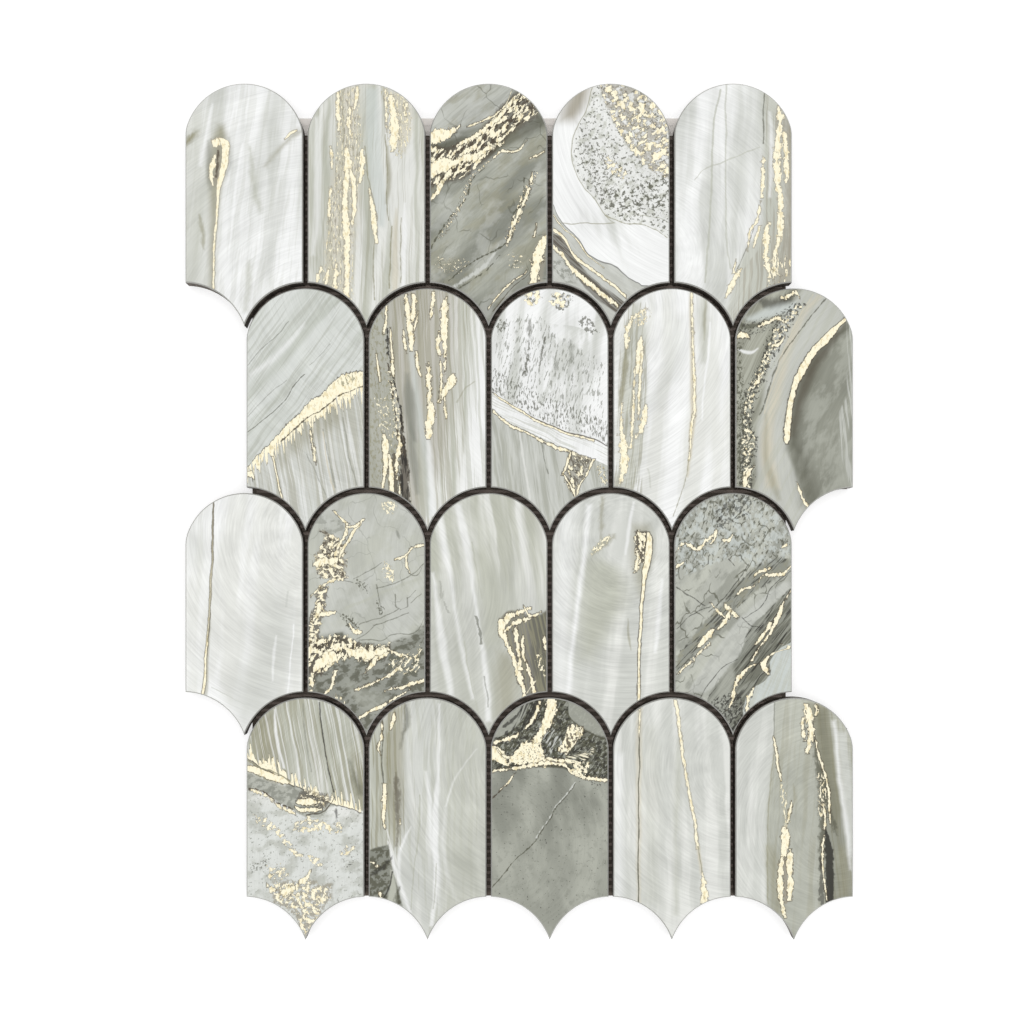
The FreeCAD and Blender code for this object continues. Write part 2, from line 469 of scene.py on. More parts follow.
        # Painted sheen: the face's colour is scaled lighter and darker along the rings and the sweeps; the
        # rings also make the bump.
        rings_shade = (self.rings - 0.5) * (strength * RINGS_CONTRAST)
        shade = (rings_shade + (sweeps - 0.5) * (strength * SWEEPS_CONTRAST)) * fade + 1.0
        node = self.tree.nodes.new("ShaderNodeVectorMath")
        node.operation = "SCALE"
        connect(self.tree, self.colour, node.inputs[0])
        connect(self.tree, shade, node.inputs["Scale"])
        self.colour = node.outputs["Vector"]

    def finish(self):
        """Bring the print together with the bright rim, the dark edge and the dull back."""
        geometry = self.tree.nodes.new("ShaderNodeNewGeometry")
        parts = self.tree.nodes.new("ShaderNodeSeparateXYZ")
        connect(self.tree, geometry.outputs["True Normal"], parts.inputs[0])
        upward = Field(self.tree, parts.outputs["Z"])
        face = upward.spread(*FACE_TILT)
        rim = upward.spread(*RIM_TILT) - face
        back = (-upward).spread(*BACK_TILT)
        printed = self.colour
        self.colour = CORE
        self.lay(CORE_PALE, self.grit.rise(0.45, 0.65))
        self.lay(BACK_SKIN, back)
        # Painted shade: the rim's grey carries the darker band along the chips' edges.
        self.lay(RIM_SHADED, rim)
        self.lay(printed, face)
        gold = self.gold if self.gold is not None else face * 0
        metal = (gold * GOLD_METAL + FACE_METAL) * face + rim * RIM_METAL + back * BACK_METAL
        roughness = face * (FACE_ROUGHNESS - SIDE_ROUGHNESS) + rim * (RIM_ROUGHNESS - SIDE_ROUGHNESS)
        roughness = roughness + SIDE_ROUGHNESS
        connect(self.tree, self.colour, self.shader.inputs["Base Color"])
        connect(self.tree, metal, self.shader.inputs["Metallic"])
        connect(self.tree, roughness - gold * face * GOLD_GLOSS, self.shader.inputs["Roughness"])
        self.shader.inputs["Specular IOR Level"].default_value = SATIN_SPECULAR
        bump = self.tree.nodes.new("ShaderNodeBump")
        bump.inputs["Strength"].default_value = BRUSH_BUMP
        bump.inputs["Distance"].default_value = BRUSH_DEPTH
        connect(self.tree, self.rings, bump.inputs["Height"])
        connect(self.tree, bump.outputs["Normal"], self.shader.inputs["Normal"])
        return self.material


def paint_row1_1(face):
    """Pale brushed chip with a hooked gold vein and a long stem."""
    face.ground(WHITE, SILVER, lean=-6, wide=8, low=0.22, high=0.64)
    face.wash(SAGE, [(3, 8, 3), (4, 35, 6), (4, 60, 5), (5, 84, 4)], 7, 0.6)
    face.wash(OLIVE, [(-2, 23, 1), (1, 20, 1.5), (4, 17, 0.5)], 1.6, 0.95, 0.5)
    face.wash(OLIVE, [(12.5, 15, 1), (11.5, 26, 3), (10.4, 38, 1.8), (9.4, 60, 0.8), (9, 78, 0.7)], 1.9, 0.8)
    face.wash(MOSS, [(8.2, 20, 0.3), (8.2, 28, 0.9), (8.8, 37, 0.3)], 1.0, 0.4)
    face.wash(MOSS, [(15.4, 19, 0.2), (15.8, 25, 0.5), (14.4, 32, 0.2)], 0.9, 0.35)
    face.wash(WHITE, [(9.5, 7, 0.3), (7.5, 17, 0.7), (5, 29, 0.6)], 0.6, 0.7)
    face.wash(OLIVE, [(5.2, 46, 0.2), (6, 52, 0.7), (6.6, 58, 0.2)], 0.7, 0.65, 0.3)
    face.bands(SAGE, face.everywhere(), lean=-8, wide=1.6, long=30, level=0.56, strength=0.2)
    face.wash(SAGE, [(22.5, 22, 0.4), (24, 35, 0.9), (26, 45, 0.4)], 1.4, 0.7, 0.4)
    face.wash(SAGE, [(22.5, 62, 0.5), (22.2, 70, 1.2), (21, 80, 0.8)], 1.4, 0.6, 0.3)
    face.wash(OLIVE, [(28, 29, 0.3), (34, 22, 0.9), (41, 16, 1.3)], 1.6, 0.55, 0.3)
    face.wash(WHITE, [(20.1, 21, 0.2), (18.7, 30, 0.5), (17.1, 41, 0.5), (16.4, 50, 0.4),
                      (14.3, 70, 0.2)], 0.5)
    face.brush((48, 92))
    face.wash(TAUPE, [(11.9, 22, 0.4), (11.4, 29, 0.9), (10.6, 36, 0.3)], 0.5, 0.8, 0.4)
    face.wash(BROWN, [(11.6, 23.6, 0.2), (11.4, 28, 0.5), (10.9, 33, 0.2)], 0.3, 0.8, 0.3)
    face.trim(TAUPE)
    face.vein([(9.2, 20.4, 0.4), (10.2, 21, 1.5), (11.8, 20.6, 1.3), (13.4, 20.8, 1.0)], 0.5)
    face.vein([(10.5, 25, 0.2), (9.9, 28, 0.9), (9.4, 31.6, 0.7), (10, 36, 0.2)], 0.5)
    face.vein([(12.3, 19.3, 0.6), (13.9, 21, 1.5), (14.2, 23.5, 1.3), (13.6, 28, 1.0), (12.7, 32, 0.9),
               (11.8, 36.5, 0.6), (11.4, 41, 0.4), (10.7, 50, 0.34), (10.2, 60, 0.3), (9.6, 75, 0.4)], 0.15)
    face.vein([(34.8, 19.6, 0.1), (36.6, 18, 0.5), (39.2, 16.4, 0.2)], 0.15)


def paint_row1_2(face):
    """Upright grey-green and beige bands with gold spindles."""
    face.ground(PEARL, SAGE, lean=-1, wide=3.4, long=80, fine=0.2, low=0.3, high=0.66, bend=1.5)
    face.wash(MIST, [(22.5, 2, 2.2), (23, 20, 2.6), (25, 40, 2.4), (26, 50, 1.2)], 1.2, 0.7)
    face.wash(BEIGE, [(14, 1, 3.6), (14.5, 20, 4), (13, 40, 5), (10, 74, 5)], 2.0, 0.5, 0.8)
    column = face.stroke([(14, 1, 4), (14.5, 20, 4.6), (12, 45, 5), (10, 76, 6)])
    face.specks(column, 0.6, 2.6, 0, 0.545, TAUPE)
    face.froth(column, 0.6, 2.0, 0, 0.6, 0.56, OLIVE, 0.7)
    face.wash(BEIGE, [(31, 3, 3), (33, 12, 3.5), (33, 24, 1)], 2, 0.6, 0.8)
    face.froth(face.stroke([(29, 1, 4), (32, 14, 4.5), (32, 26, 1)]), 0.7, 2.2, 0, 0.57, 0.52, OLIVE)
    face.wash(OLIVE, [(28, 22, 0.3), (28.5, 34, 0.7), (27.5, 42, 0.3)], 0.8, 0.7)
    face.bands(OLIVE, face.everywhere(), lean=-1, wide=0.7, long=40, level=0.6, soft=0.04, strength=0.3)
    face.line(OLIVE, [(27.2, 18), (28, 34), (27.6, 41), (28.6, 48)])
    face.line(OLIVE, [(29.8, 50), (29, 60), (28.6, 72)], 0.2)
    face.line(OLIVE, [(32.9, 47), (32.6, 60), (32.6, 70)])
    face.wash(BEIGE, [(31, 44, 0.1), (30.8, 56, 1.0), (30.6, 66, 1.1), (30.4, 84, 1.0)], 0.9, 0.6)
    face.line(OLIVE, [(20, 22), (21.4, 34), (24, 50), (23, 60), (23.5, 76)])
    face.wash(WHITE, [(34.2, 42, 0.3), (33.8, 56, 0.8), (33.6, 76, 0.7)], 0.6, 0.8)
    face.wash(WHITE, [(3, 12, 0.6), (3.5, 40, 1.2), (2, 60, 0.5)], 1.2, 0.6)
    face.brush((60, 40), 0.035)
    face.trim(TAUPE)
    face.vein([(10.6, 3, 0.5), (10.9, 10, 0.6), (11, 18, 0.1)], 0.5)
    face.vein([(17.2, 1, 0.4), (17, 5, 0.6), (16.6, 9, 0.2)], 0.35)
    face.vein([(15, 8, 0.2), (14.6, 13, 0.5), (15.4, 19, 0.2)], 0.75)
    face.vein([(13.4, 22, 0.1), (14.1, 29, 1.1), (13.1, 38, 0.8), (13.5, 49, 1.2), (13.9, 60, 0.8),
               (13.4, 76, 0.8)], 0.45)
    face.vein([(14.8, 30, 0.4), (16, 35, 0.9), (16.3, 43, 0.6), (15.7, 50, 0.1)], 0.35)
    face.vein([(19.1, 23, 0.1), (19.2, 28, 0.8), (18.5, 35, 0.3)], 0.45)
    face.vein([(21.6, 36.5, 0.1), (22.4, 41, 0.5), (23.1, 47, 0.8), (24.1, 56, 0.3)], 0.35)
    face.vein([(8, 22, 0.1), (8.4, 26, 0.4), (8.7, 30, 0.1)], 0.4)
    face.vein([(8, 36, 0.1), (7.8, 42, 0.4), (7.7, 48, 0.1)], 0.6)
    face.vein([(29, 4, 0.6), (30.2, 10, 1.2), (30.5, 15.5, 1.4), (29.7, 24, 0.3)], 0.7)
    face.vein([(27, 2, 0.2), (27.6, 10, 0.3), (27.9, 17, 0.1)], 0.4)
    face.vein([(34.8, 7, 0.5), (34.2, 11.5, 0.2)], 0.6)
    face.vein([(10.2, 63, 0.2), (9.8, 68, 0.7), (9.6, 74, 0.7)], 0.5)
    face.vein([(7.2, 65, 0.2), (6.7, 69, 0.5), (6.4, 74, 0.3)], 0.5)
    face.vein([(4.8, 64, 0.1), (4.1, 67, 0.4), (3.4, 70, 0.3)], 0.5)


def paint_row1_3(face):
    """Cracked grey-green stone crossed by a broad web of gold."""
    face.ground(STONE, SLATE, lean=-50, wide=9, long=30, low=0.36, high=0.62)
    face.fill(SILVER, -face.side([(0, 19), (14, 16), (22, 12), (29, 3), (41, -12)]), 1.2, 0.55)
    face.mottle(OLIVE, face.everywhere(), 7, 16, -50, 0.46, 0.64, 0.45)
    face.bands(SLATE, face.everywhere(), lean=-50, wide=1.0, long=16, level=0.56, soft=0.04, strength=0.25)
    face.mottle(SILVER, face.everywhere(), 7, 11, -50, 0.48, 0.68, 0.35)
    face.wash(MOSS, [(-1, 24, 1.6), (6, 22, 1.8), (13, 19.4, 0.8)], 0.9, 0.7)
    face.wash(MOSS, [(18, 27, 0.6), (25, 21.6, 1.8), (32, 17, 2.4), (41, 12, 2)], 1.6, 0.65)
    face.wash(SLATE, [(33, 45, 1), (31, 53, 2), (24, 60, 1)], 2, 0.6)
    face.cracks(face.everywhere(), 10, -35, 0.011, MOSS, 0.45)
    face.wash(SILVER, [(24, 57, 0.2), (20, 63, 0.9), (15, 67, 0.8), (8, 71.6, 0.4)], 0.5, 0.9, 0.5)
    face.brush((55, 70), 0.04)
    band = face.stroke([(-2, 29, 8), (9, 28, 5.5), (17, 23, 5.5), (23, 17, 6), (30, 10, 6), (37, 6, 5)], 0.5)
    face.fill(BROWN, band + 0.9, 0.8, 0.6)
    face.specks(band, 2.6, 1.1, 55, 0.46, BROWN, 0.9)
    face.froth(band, 3.6, 1.5, 55, 0.5, 0.46, BROWN, 0.85)
    face.vein([(-1, 20, 1), (3, 18.5, 2.2), (8, 17, 1), (10.5, 15, 0.3)], 0.7, 0.5, BROWN)
    face.vein([(-1, 31, 2.5), (4, 29, 2.6), (9, 27.5, 1.2), (15, 26, 1.2), (20, 23, 0.6), (26, 21, 0.3)],
              0.8, 0.5, BROWN)
    face.vein([(9, 22, 0.3), (14, 19.5, 0.6), (19, 16, 0.8), (24, 12, 0.9), (29, 6, 0.8)], 0.6, 0.5, BROWN)
    face.vein([(22, 26, 0.2), (26, 24, 0.4), (29, 24, 0.3), (34, 20, 0.2)], 0.4, 0.4, BROWN)
    face.vein([(13, 15.5, 0.2), (19, 13, 0.3), (25, 9.5, 0.3), (29, 2, 0.3)], 0.3, 0.4, BROWN)
    face.vein([(35, 26.5, 0.1), (38, 25, 0.3), (40, 24, 0.1)], 0.3)
    face.vein([(-1, 42, 0.6), (2.5, 38, 0.8), (4.5, 34, 0.2)], 0.5)
    face.line(MOSS, [(20, 29), (14, 35), (13, 40), (8.6, 45), (3.5, 52), (0.6, 58)], 0.16, 0.9, 0.3)
    face.line(MOSS, [(33, 33), (33, 39), (31, 43), (29, 47.5), (29.3, 51), (26, 56.5),
                     (22.5, 59)], 0.2, 0.9, 0.3)
    face.froth(face.stroke([(37, 31, 0.6), (34, 38, 1.4), (30, 48, 1.6), (26.5, 57, 0.8)]), 0.9, 1.3,
               30, 0.55, 0.48)
    face.vein([(36, 31, 0.1), (34.4, 38, 0.35), (30.4, 47, 0.5), (27, 56, 0.2)], 0.6, 0.6, BROWN)
    face.froth(face.stroke([(21, 27, 0.4), (14, 34, 1.0), (12, 40, 0.8), (8, 47, 1.0), (3, 55, 0.4)]), 0.8,
               1.0, 30, 0.57, 0.49)
    face.froth(face.stroke([(2, 62, 2), (8, 64, 3), (14, 63, 1.5)]), 0.8, 0.8, 30, 0.61, 0.54, BROWN, 0.6)
    face.line(MOSS, [(25.4, 57), (19, 60.4), (12, 64.4), (6.6, 69)], 0.18, 0.9, 0.3)
    face.line(MOSS, [(24.6, 60), (20, 65.4), (13, 70), (9, 72.6)], 0.16, 0.8, 0.3)
    face.wash(TAUPE, [(42, 52, 2), (38.5, 60, 2.2), (37, 70, 2.4)], 0.8, 0.7, 0.6)
    face.vein([(41, 53, 0.8), (38.5, 59, 1.6), (37, 64, 1.4), (36.2, 70, 1.2)], 0.8, 0.5, BROWN)
    face.vein([(33.8, 66, 0.2), (26, 72, 0.3), (20.5, 79, 0.3)], 0.3, 0.5, BROWN)
    face.line(BROWN, [(35.5, 66), (28, 72.5), (22, 80)], 0.14)
    face.vein([(37.2, 49, 0.1), (36.5, 54, 0.4)], 0.3)
    face.froth(face.stroke([(27, 61, 3), (33, 63, 3)]), 1.2, 0.8, 0, 0.62, 0.58)


def paint_row1_4(face):
    """White sweep between a speckled field and brown and gold bands."""
    face.ground(WHITE, SILVER, lean=15, wide=9, long=30, low=0.14, high=0.42)
    face.wash(TAUPE, [(11, -1, 3), (8.6, 6, 3.4), (5.4, 13, 2.4)], 3, 0.9)
    bay = face.side([(14, 1), (11.8, 10), (9, 15), (7, 21), (6.8, 26), (8, 30), (11, 36), (15, 41),
                     (18.5, 46), (22, 49), (30, 50.5)])
    floor_line = face.side([(6, 31), (12, 38), (18.5, 46.5), (25, 48.7), (31.5, 49.5), (40.5, 54)])
    field = bay.least(-floor_line)
    face.fill(PEARL, field, 1.0, 0.6)
    face.mottle(SAGE, field, 2.6, 3.4, -40, 0.48, 0.66, 0.65)
    face.seam(OLIVE, bay.most(face.down - 49), 0.12, 0.75)
    face.line(OLIVE, [(18.5, 46.3), (25, 48.7), (31.5, 49.5), (40.5, 54)])
    face.line(SAGE, [(29, 46), (35, 46.5), (41, 48.7)])
    face.specks(field, 1.2, 1.1, 20, 0.57, MOSS, 0.8)
    face.specks(field.least(face.stroke([(12, 20, 4), (16, 30, 5), (20, 40, 5)])), 0.9, 0.9, 20,
                0.545, MOSS, 0.7)
    face.specks(field.least(face.stroke([(16, 38, 3), (26, 42, 5), (34, 39, 6), (42, 37, 7)])), 1.6, 1.4, 10,
                0.53, MOSS, 0.85)
    upper = field.least(face.side([(16, 0), (19, 8), (22, 15), (28, 24), (34, 30), (42, 34)]))
    face.mottle(TAUPE, upper, 2.6, 2.2, 30, 0.4, 0.54, 0.65)
    face.froth(upper, 2.6, 2.2, 35, 0.525, 0.47, BROWN, 0.7)
    face.froth(face.stroke([(18, 26, 1), (22, 30, 2.4), (26, 32, 1.2)]), 1.3, 1.2, 30, 0.54,
               0.47, BROWN, 0.8)
    lower = face.side([(0, 42), (3.5, 48.7), (9, 54.2), (13, 59.8), (16.3, 62), (20.7, 63.4),
                       (25.7, 67), (31.3, 71)])
    face.fill(STONE, lower, 0.3, 0.75)
    face.mottle(SILVER, lower, 4, 9, 40, 0.42, 0.6, 0.7)
    band = face.stroke([(-1, 54.5, 2.6), (4, 57.5, 2.6), (8.5, 64.5, 3), (12.4, 69.5, 3),
                        (17, 73.5, 3), (26, 80, 3)])
    face.fill(BROWN, band, 0.5, 0.6)
    face.bands(BROWN, band, lean=48, wide=0.7, long=16, level=0.5, soft=0.03, strength=0.7)
    face.seam(INK, lower, 0.18, 0.7)
    face.mottle(SLATE, face.stroke([(1, 62, 4), (5, 66, 4), (9, 70, 4)]), 1.4, 2, 40, 0.46, 0.6, 0.7)
    face.brush((60, 10), 0.06)
    face.vein([(0, 50.9, 0.3), (4, 54.2, 0.6), (8.5, 61, 0.6), (12.4, 64, 0.5), (16.3, 67, 0.5),
               (20.2, 69.9, 0.5), (25.8, 74.5, 0.5)], 0.25)
    face.vein([(0, 56.5, 0.6), (4, 60.9, 0.8), (8, 66, 1.0), (13.5, 70.5, 1.0), (19, 75, 0.9),
               (23, 78, 0.8)], 0.5)
    face.vein([(0, 45.5, 0.1), (4, 51, 0.2), (8, 54, 0.2), (13, 60.5, 0.2), (18, 64.5, 0.1)], 0.1, 0.3)


def paint_row1_5(face):
    """White brushed chip with ragged upright gold on its right side."""
    face.ground(WHITE, SILVER, lean=-2, wide=8, low=0.3, high=0.72, bend=1.5)
    face.fill(SAGE, face.side([(31, 0), (31, 20), (31, 46), (25.5, 57), (21, 68), (18, 80)]), 1.6, 0.75)
    face.wash(TAUPE, [(40, 8, 1.5), (41, 30, 2), (41, 50, 2), (37, 72, 3)], 2.4, 0.7, 0.6)
    face.bands(TAUPE, face.side([(32, 0), (32, 46), (22, 70), (20, 80)]), lean=-2, wide=0.9, long=30,
               level=0.53, strength=0.5)
    face.line(SAGE, [(18, 0), (18, 46), (19.7, 65)], 0.25, 0.6)
    face.line(SAGE, [(16, 2), (13.6, 18), (12.7, 43), (10.8, 70)], 0.3, 0.7)
    face.line(SAGE, [(7, 34), (11, 30), (18.3, 27), (30, 22.4)], 0.2, 0.6)
    face.line(MOSS, [(31.4, 3), (31.2, 21)], 0.16, 0.7)
    face.line(MOSS, [(29.7, 46), (25.5, 57), (21, 68)], 0.14, 0.6)
    face.wash(WHITE, [(33.5, 10, 0.3), (34, 26, 0.8), (33.5, 40, 0.4)], 0.8, 0.7)
    face.brush((-8, 60), 0.065)
    face.trim(TAUPE)
    face.vein([(36.7, 8, 0.3), (36.9, 15, 1.0), (36, 24, 1.0), (36, 33, 1.0), (37.2, 43, 0.9), (37, 51, 1.0),
               (36.2, 58, 0.3)], 0.7)
    face.vein([(38.6, 17, 0.3), (39, 24, 0.8), (39.2, 35, 0.4)], 0.6)
    face.vein([(31, 25, 0.1), (30.9, 32, 0.5), (30.5, 40, 0.1)], 0.6)
    face.vein([(30, 41, 0.1), (29, 48, 0.4), (26.4, 52, 0.3), (25.5, 59, 0.1)], 0.4)
    face.vein([(33.4, 48.6, 0.4), (32.2, 54, 0.8), (32.2, 61, 0.7), (33.4, 68, 0.5)], 0.6)
    face.vein([(36.7, 54, 0.6), (35, 63, 0.7), (34.8, 69, 0.3)], 0.5)
    face.vein([(30, 50, 0.3), (27.8, 57.6, 0.3)], 0.4)
    face.vein([(23.3, 65, 0.2), (21, 69, 0.9), (19.4, 72, 0.8), (18, 75, 0.2)], 0.5)
    face.vein([(21.6, 61.5, 0.1), (20.8, 66.6, 0.3)], 0.3)
    face.froth(face.stroke([(38, 60, 3), (36, 72, 4)]), 0.9, 3, 0, 0.58, 0.53)


def paint_row2_1(face):
    """Slanting pale strata over a spiky gold band, with upright streaks below it."""
    face.ground(PEARL, SAGE, lean=-40, wide=4, long=60, fine=0.2, low=0.26, high=0.62, bend=1.5)
    face.fill(MIST, face.everywhere(), 0.3, 0.45)
    face.bands(STONE, face.everywhere(), lean=-36, wide=1.1, long=30, level=0.57, soft=0.05, strength=0.4)
    face.wash(WHITE, [(1, 31, 0.7), (12, 22, 1.0), (20, 13, 0.6)], 1.4, 0.6)
    face.line(MOSS, [(0.5, 27), (6, 20.5), (11.5, 16), (15, 11.5)], 0.16, 0.5)
    face.line(MOSS, [(0.5, 50.4), (8, 44.5), (13, 40), (16.5, 34.5), (20.5, 30)], 0.18, 0.75)
    face.line(SLATE, [(0.5, 45), (5, 40), (11, 34.5), (14, 32)], 0.14, 0.55)
    face.line(SLATE, [(22, 27), (26, 23.5), (29.5, 19.5)], 0.14, 0.5)
    lower = face.side([(0, 64), (5, 60), (10, 56), (15, 52), (20, 46), (26, 41.5), (33, 37), (41, 33.5)])
    face.fill(SILVER, lower, 0.4)
    face.bands(OLIVE, lower, lean=9, wide=2.2, long=60, level=0.5, soft=0.08, strength=0.4)
    face.bands(WHITE, lower, lean=9, wide=1.2, long=60, level=0.55, soft=0.05, strength=0.45)
    face.line(SLATE, [(27, 49), (28.5, 58), (31, 70)], 0.14, 0.6)
    face.line(SLATE, [(34, 45), (35.5, 57), (38.5, 69)], 0.14, 0.6)
    face.line(SLATE, [(21, 58), (25, 66), (28.5, 74)], 0.14, 0.5)
    face.wash(OLIVE, [(12, 57, 6), (22, 48, 6), (34, 42, 4)], 3.5, 0.45)
    face.brush((60, -10), 0.05)
    spikes = face.grain(0.75, 9, 4, 1, 0.5)
    upper_edge = face.side([(0.5, 63), (4, 58.5), (9, 54), (14, 48), (18.4, 44), (22.5, 39.5), (26.5, 37),
                            (30, 33), (35, 30), (41, 29)], 0.5)
    lower_edge = face.side([(0.5, 66.5), (4, 62), (9, 58), (14, 53.5), (19, 49.5), (24.5, 46.5),
                            (28.5, 43.5), (33, 40.5), (37, 38), (41, 37)], 0.25)
    face.foil(upper_edge.least(spikes * 16 - 8.4 - lower_edge), 0.6, BROWN)
    face.vein([(-0.5, 67, 0.5), (1.5, 65, 1.0), (2.8, 66.5, 0.4)], 0.4)
    face.line(BROWN, [(12, 54), (20, 46.5), (27, 42), (33, 37.5), (41, 34.3)], 0.2, 0.9, 0.3)
    face.specks(face.stroke([(31, 33, 2), (36, 31.5, 2.4), (39, 31, 2)]), 0.8, 2.2, 20, 0.52, OLIVE, 0.8)
    face.vein([(9.4, 59, 0.3), (10.8, 66, 0.22), (12.4, 74, 0.22)], 0.1, 0.4)
    face.vein([(22.5, 50, 0.2), (23.5, 57, 0.4), (24.3, 62, 0.1)], 0.4)
    face.line(BEIGE, [(27, 50), (28, 60), (30.5, 71)], 0.2, 0.7)


def paint_row2_2(face):
    """Upright bands, with a dark crackled streak on the left and gold spindles."""
    face.ground(PEARL, SAGE, lean=2, wide=3.2, long=80, fine=0.2, low=0.28, high=0.56, bend=1.5)
    face.fill(TAUPE, -face.side([(31, 0), (30, 30), (28, 50), (18, 80)]), 4, 0.55)
    face.bands(OLIVE, -face.side([(36, 0), (35, 40), (30, 76)]), lean=3, wide=1.0, long=50, level=0.53,
               soft=0.05, strength=0.45)
    face.fill(STONE, -face.side([(7, 0), (8, 30), (11, 50), (13, 80)]), 1.4, 0.7)
    face.specks(-face.side([(7, 12), (8, 30), (11, 50), (13, 80)]), 0.9, 1.8, 4, 0.53, OLIVE, 0.7)
    face.wash(MIST, [(13, 3, 0.6), (15, 22, 1.0), (17, 40, 1.2), (20, 60, 1.4), (22, 80, 1.4)], 1.2, 0.6)
    face.wash(SLATE, [(13.4, 30, 0.4), (14.4, 42, 1.8), (16, 54, 0.5)], 1.2, 0.8)
    face.wash(SLATE, [(14.6, 47, 0.3), (15.6, 57, 1.7), (17.4, 72, 1.0)], 1.0, 0.7)
    face.wash(SAGE, [(17, 54, 1), (19, 66, 1.6), (19, 80, 1.8)], 1.0, 0.6)
    face.wash(WHITE, [(40, 8, 2), (40, 30, 2.6), (38, 50, 3.6), (35, 78, 4)], 2.4, 0.85)
    face.wash(WHITE, [(20, 50, 0.2), (21.4, 60, 0.9), (22.6, 80, 1.0)], 0.9, 0.7)
    face.bands(SAGE, face.side([(28, 40), (30, 76)]), lean=3, wide=1.2, long=40, level=0.54, strength=0.5)
    face.line(OLIVE, [(31, 40), (34, 35), (37, 32.5)], 0.3, 0.4)
    face.brush((70, 30), 0.035)
    face.line(INK, [(6.6, 14), (7, 22), (9, 32), (11, 42), (12, 50), (13, 62)], 0.24, 0.9, 0.5)
    face.line(BROWN, [(6.5, 26), (8.5, 37), (9.6, 47), (10.4, 54)], 0.2, 0.9, 0.5)
    streak = face.stroke([(11.3, 44, 0.2), (11.6, 54, 0.9), (12.4, 62, 1.5), (12.8, 80, 1.5)], 0.6)
    face.fill(BROWN, streak, 0.4, 0.8)
    face.bands(INK, streak, lean=4, wide=0.6, long=8, level=0.5, soft=0.03, strength=0.9)
    face.wash(BROWN, [(8.6, 57, 0.3), (9.4, 64, 1.2), (9.4, 76, 1.4)], 0.4, 0.75, 0.8)
    face.froth(face.stroke([(7, 28, 1.2), (9.4, 42, 1.4), (10, 52, 1.4)]), 0.7, 1.2, 8, 0.55, 0.5, MOSS, 0.8)
    face.froth(face.stroke([(4, 38, 2.2), (6, 48, 2.6), (7, 56, 2)]), 0.8, 1.4, 20, 0.6, 0.56, OLIVE, 0.7)
    face.vein([(6.4, 3, 0.2), (6, 10, 0.3), (5.2, 16, 0.4)], 0.3)
    face.vein([(7.6, 14, 0.1), (8, 20, 0.3), (8.3, 26, 0.2)], 0.2)
    face.vein([(2.6, 23, 0.1), (3.4, 28, 0.3), (3.9, 33, 0.2)], 0.2)
    face.vein([(8, 25, 0.2), (8.4, 28, 0.6), (8.9, 31, 0.2)], 0.4)
    face.vein([(12.9, 2, 0.4), (14, 10, 0.8), (14.8, 17, 0.9), (15, 22, 0.4)], 0.5)
    face.vein([(15.6, 2, 0.5), (15.8, 8, 0.8), (15.6, 12, 0.4)], 0.6)
    face.vein([(17.6, 8, 0.1), (16.6, 12, 0.3), (16, 15, 0.1)], 0.3)
    face.vein([(12, 15, 0.2), (12.6, 19, 0.4), (13.2, 23, 0.1)], 0.4)
    face.vein([(16.6, 22, 0.3), (17.4, 28, 0.5), (18.4, 31, 0.1)], 0.3)
    face.vein([(22.8, 1.5, 0.4), (22.4, 6, 0.5), (21.6, 11, 0.1)], 0.5)
    face.vein([(27, 3, 0.2), (26.5, 9, 1.1), (26.4, 15, 1.1), (26.6, 20, 0.5), (26.8, 30, 0.2)], 0.6)
    face.vein([(24.4, 15, 0.1), (24.3, 20, 0.5), (24.8, 24, 0.1)], 0.5)
    face.vein([(20.9, 26, 0.1), (21.2, 32, 0.7), (21.2, 38, 0.7), (22, 43, 1.2), (21.2, 48, 1.3),
               (20.8, 53, 0.6)], 0.6)
    face.vein([(25, 25, 0.1), (25.3, 31, 0.3), (25.2, 36, 0.3), (25, 40, 0.3)], 0.4)
    face.vein([(29.6, 30, 0.3), (28.6, 33.5, 1.5), (26.6, 36.5, 1.0), (25, 40, 0.3)], 0.6)
    face.vein([(26.6, 38, 0.2), (26.5, 42, 0.2), (27, 45.5, 0.2)], 0.5)
    face.vein([(5, 51, 0.1), (6, 57, 1.2), (5.8, 64, 0.6), (5, 70, 0.4), (4.8, 76, 0.4)], 0.4)
    face.vein([(7.4, 58, 0.3), (7.8, 65, 0.7), (8, 76, 0.5)], 0.3)
    face.vein([(11, 52, 0.3), (10.8, 57, 0.6), (9.8, 62, 0.5), (10, 67, 0.1)], 0.5)
    face.vein([(10.8, 68, 0.1), (10.9, 75, 0.3)], 0.5)


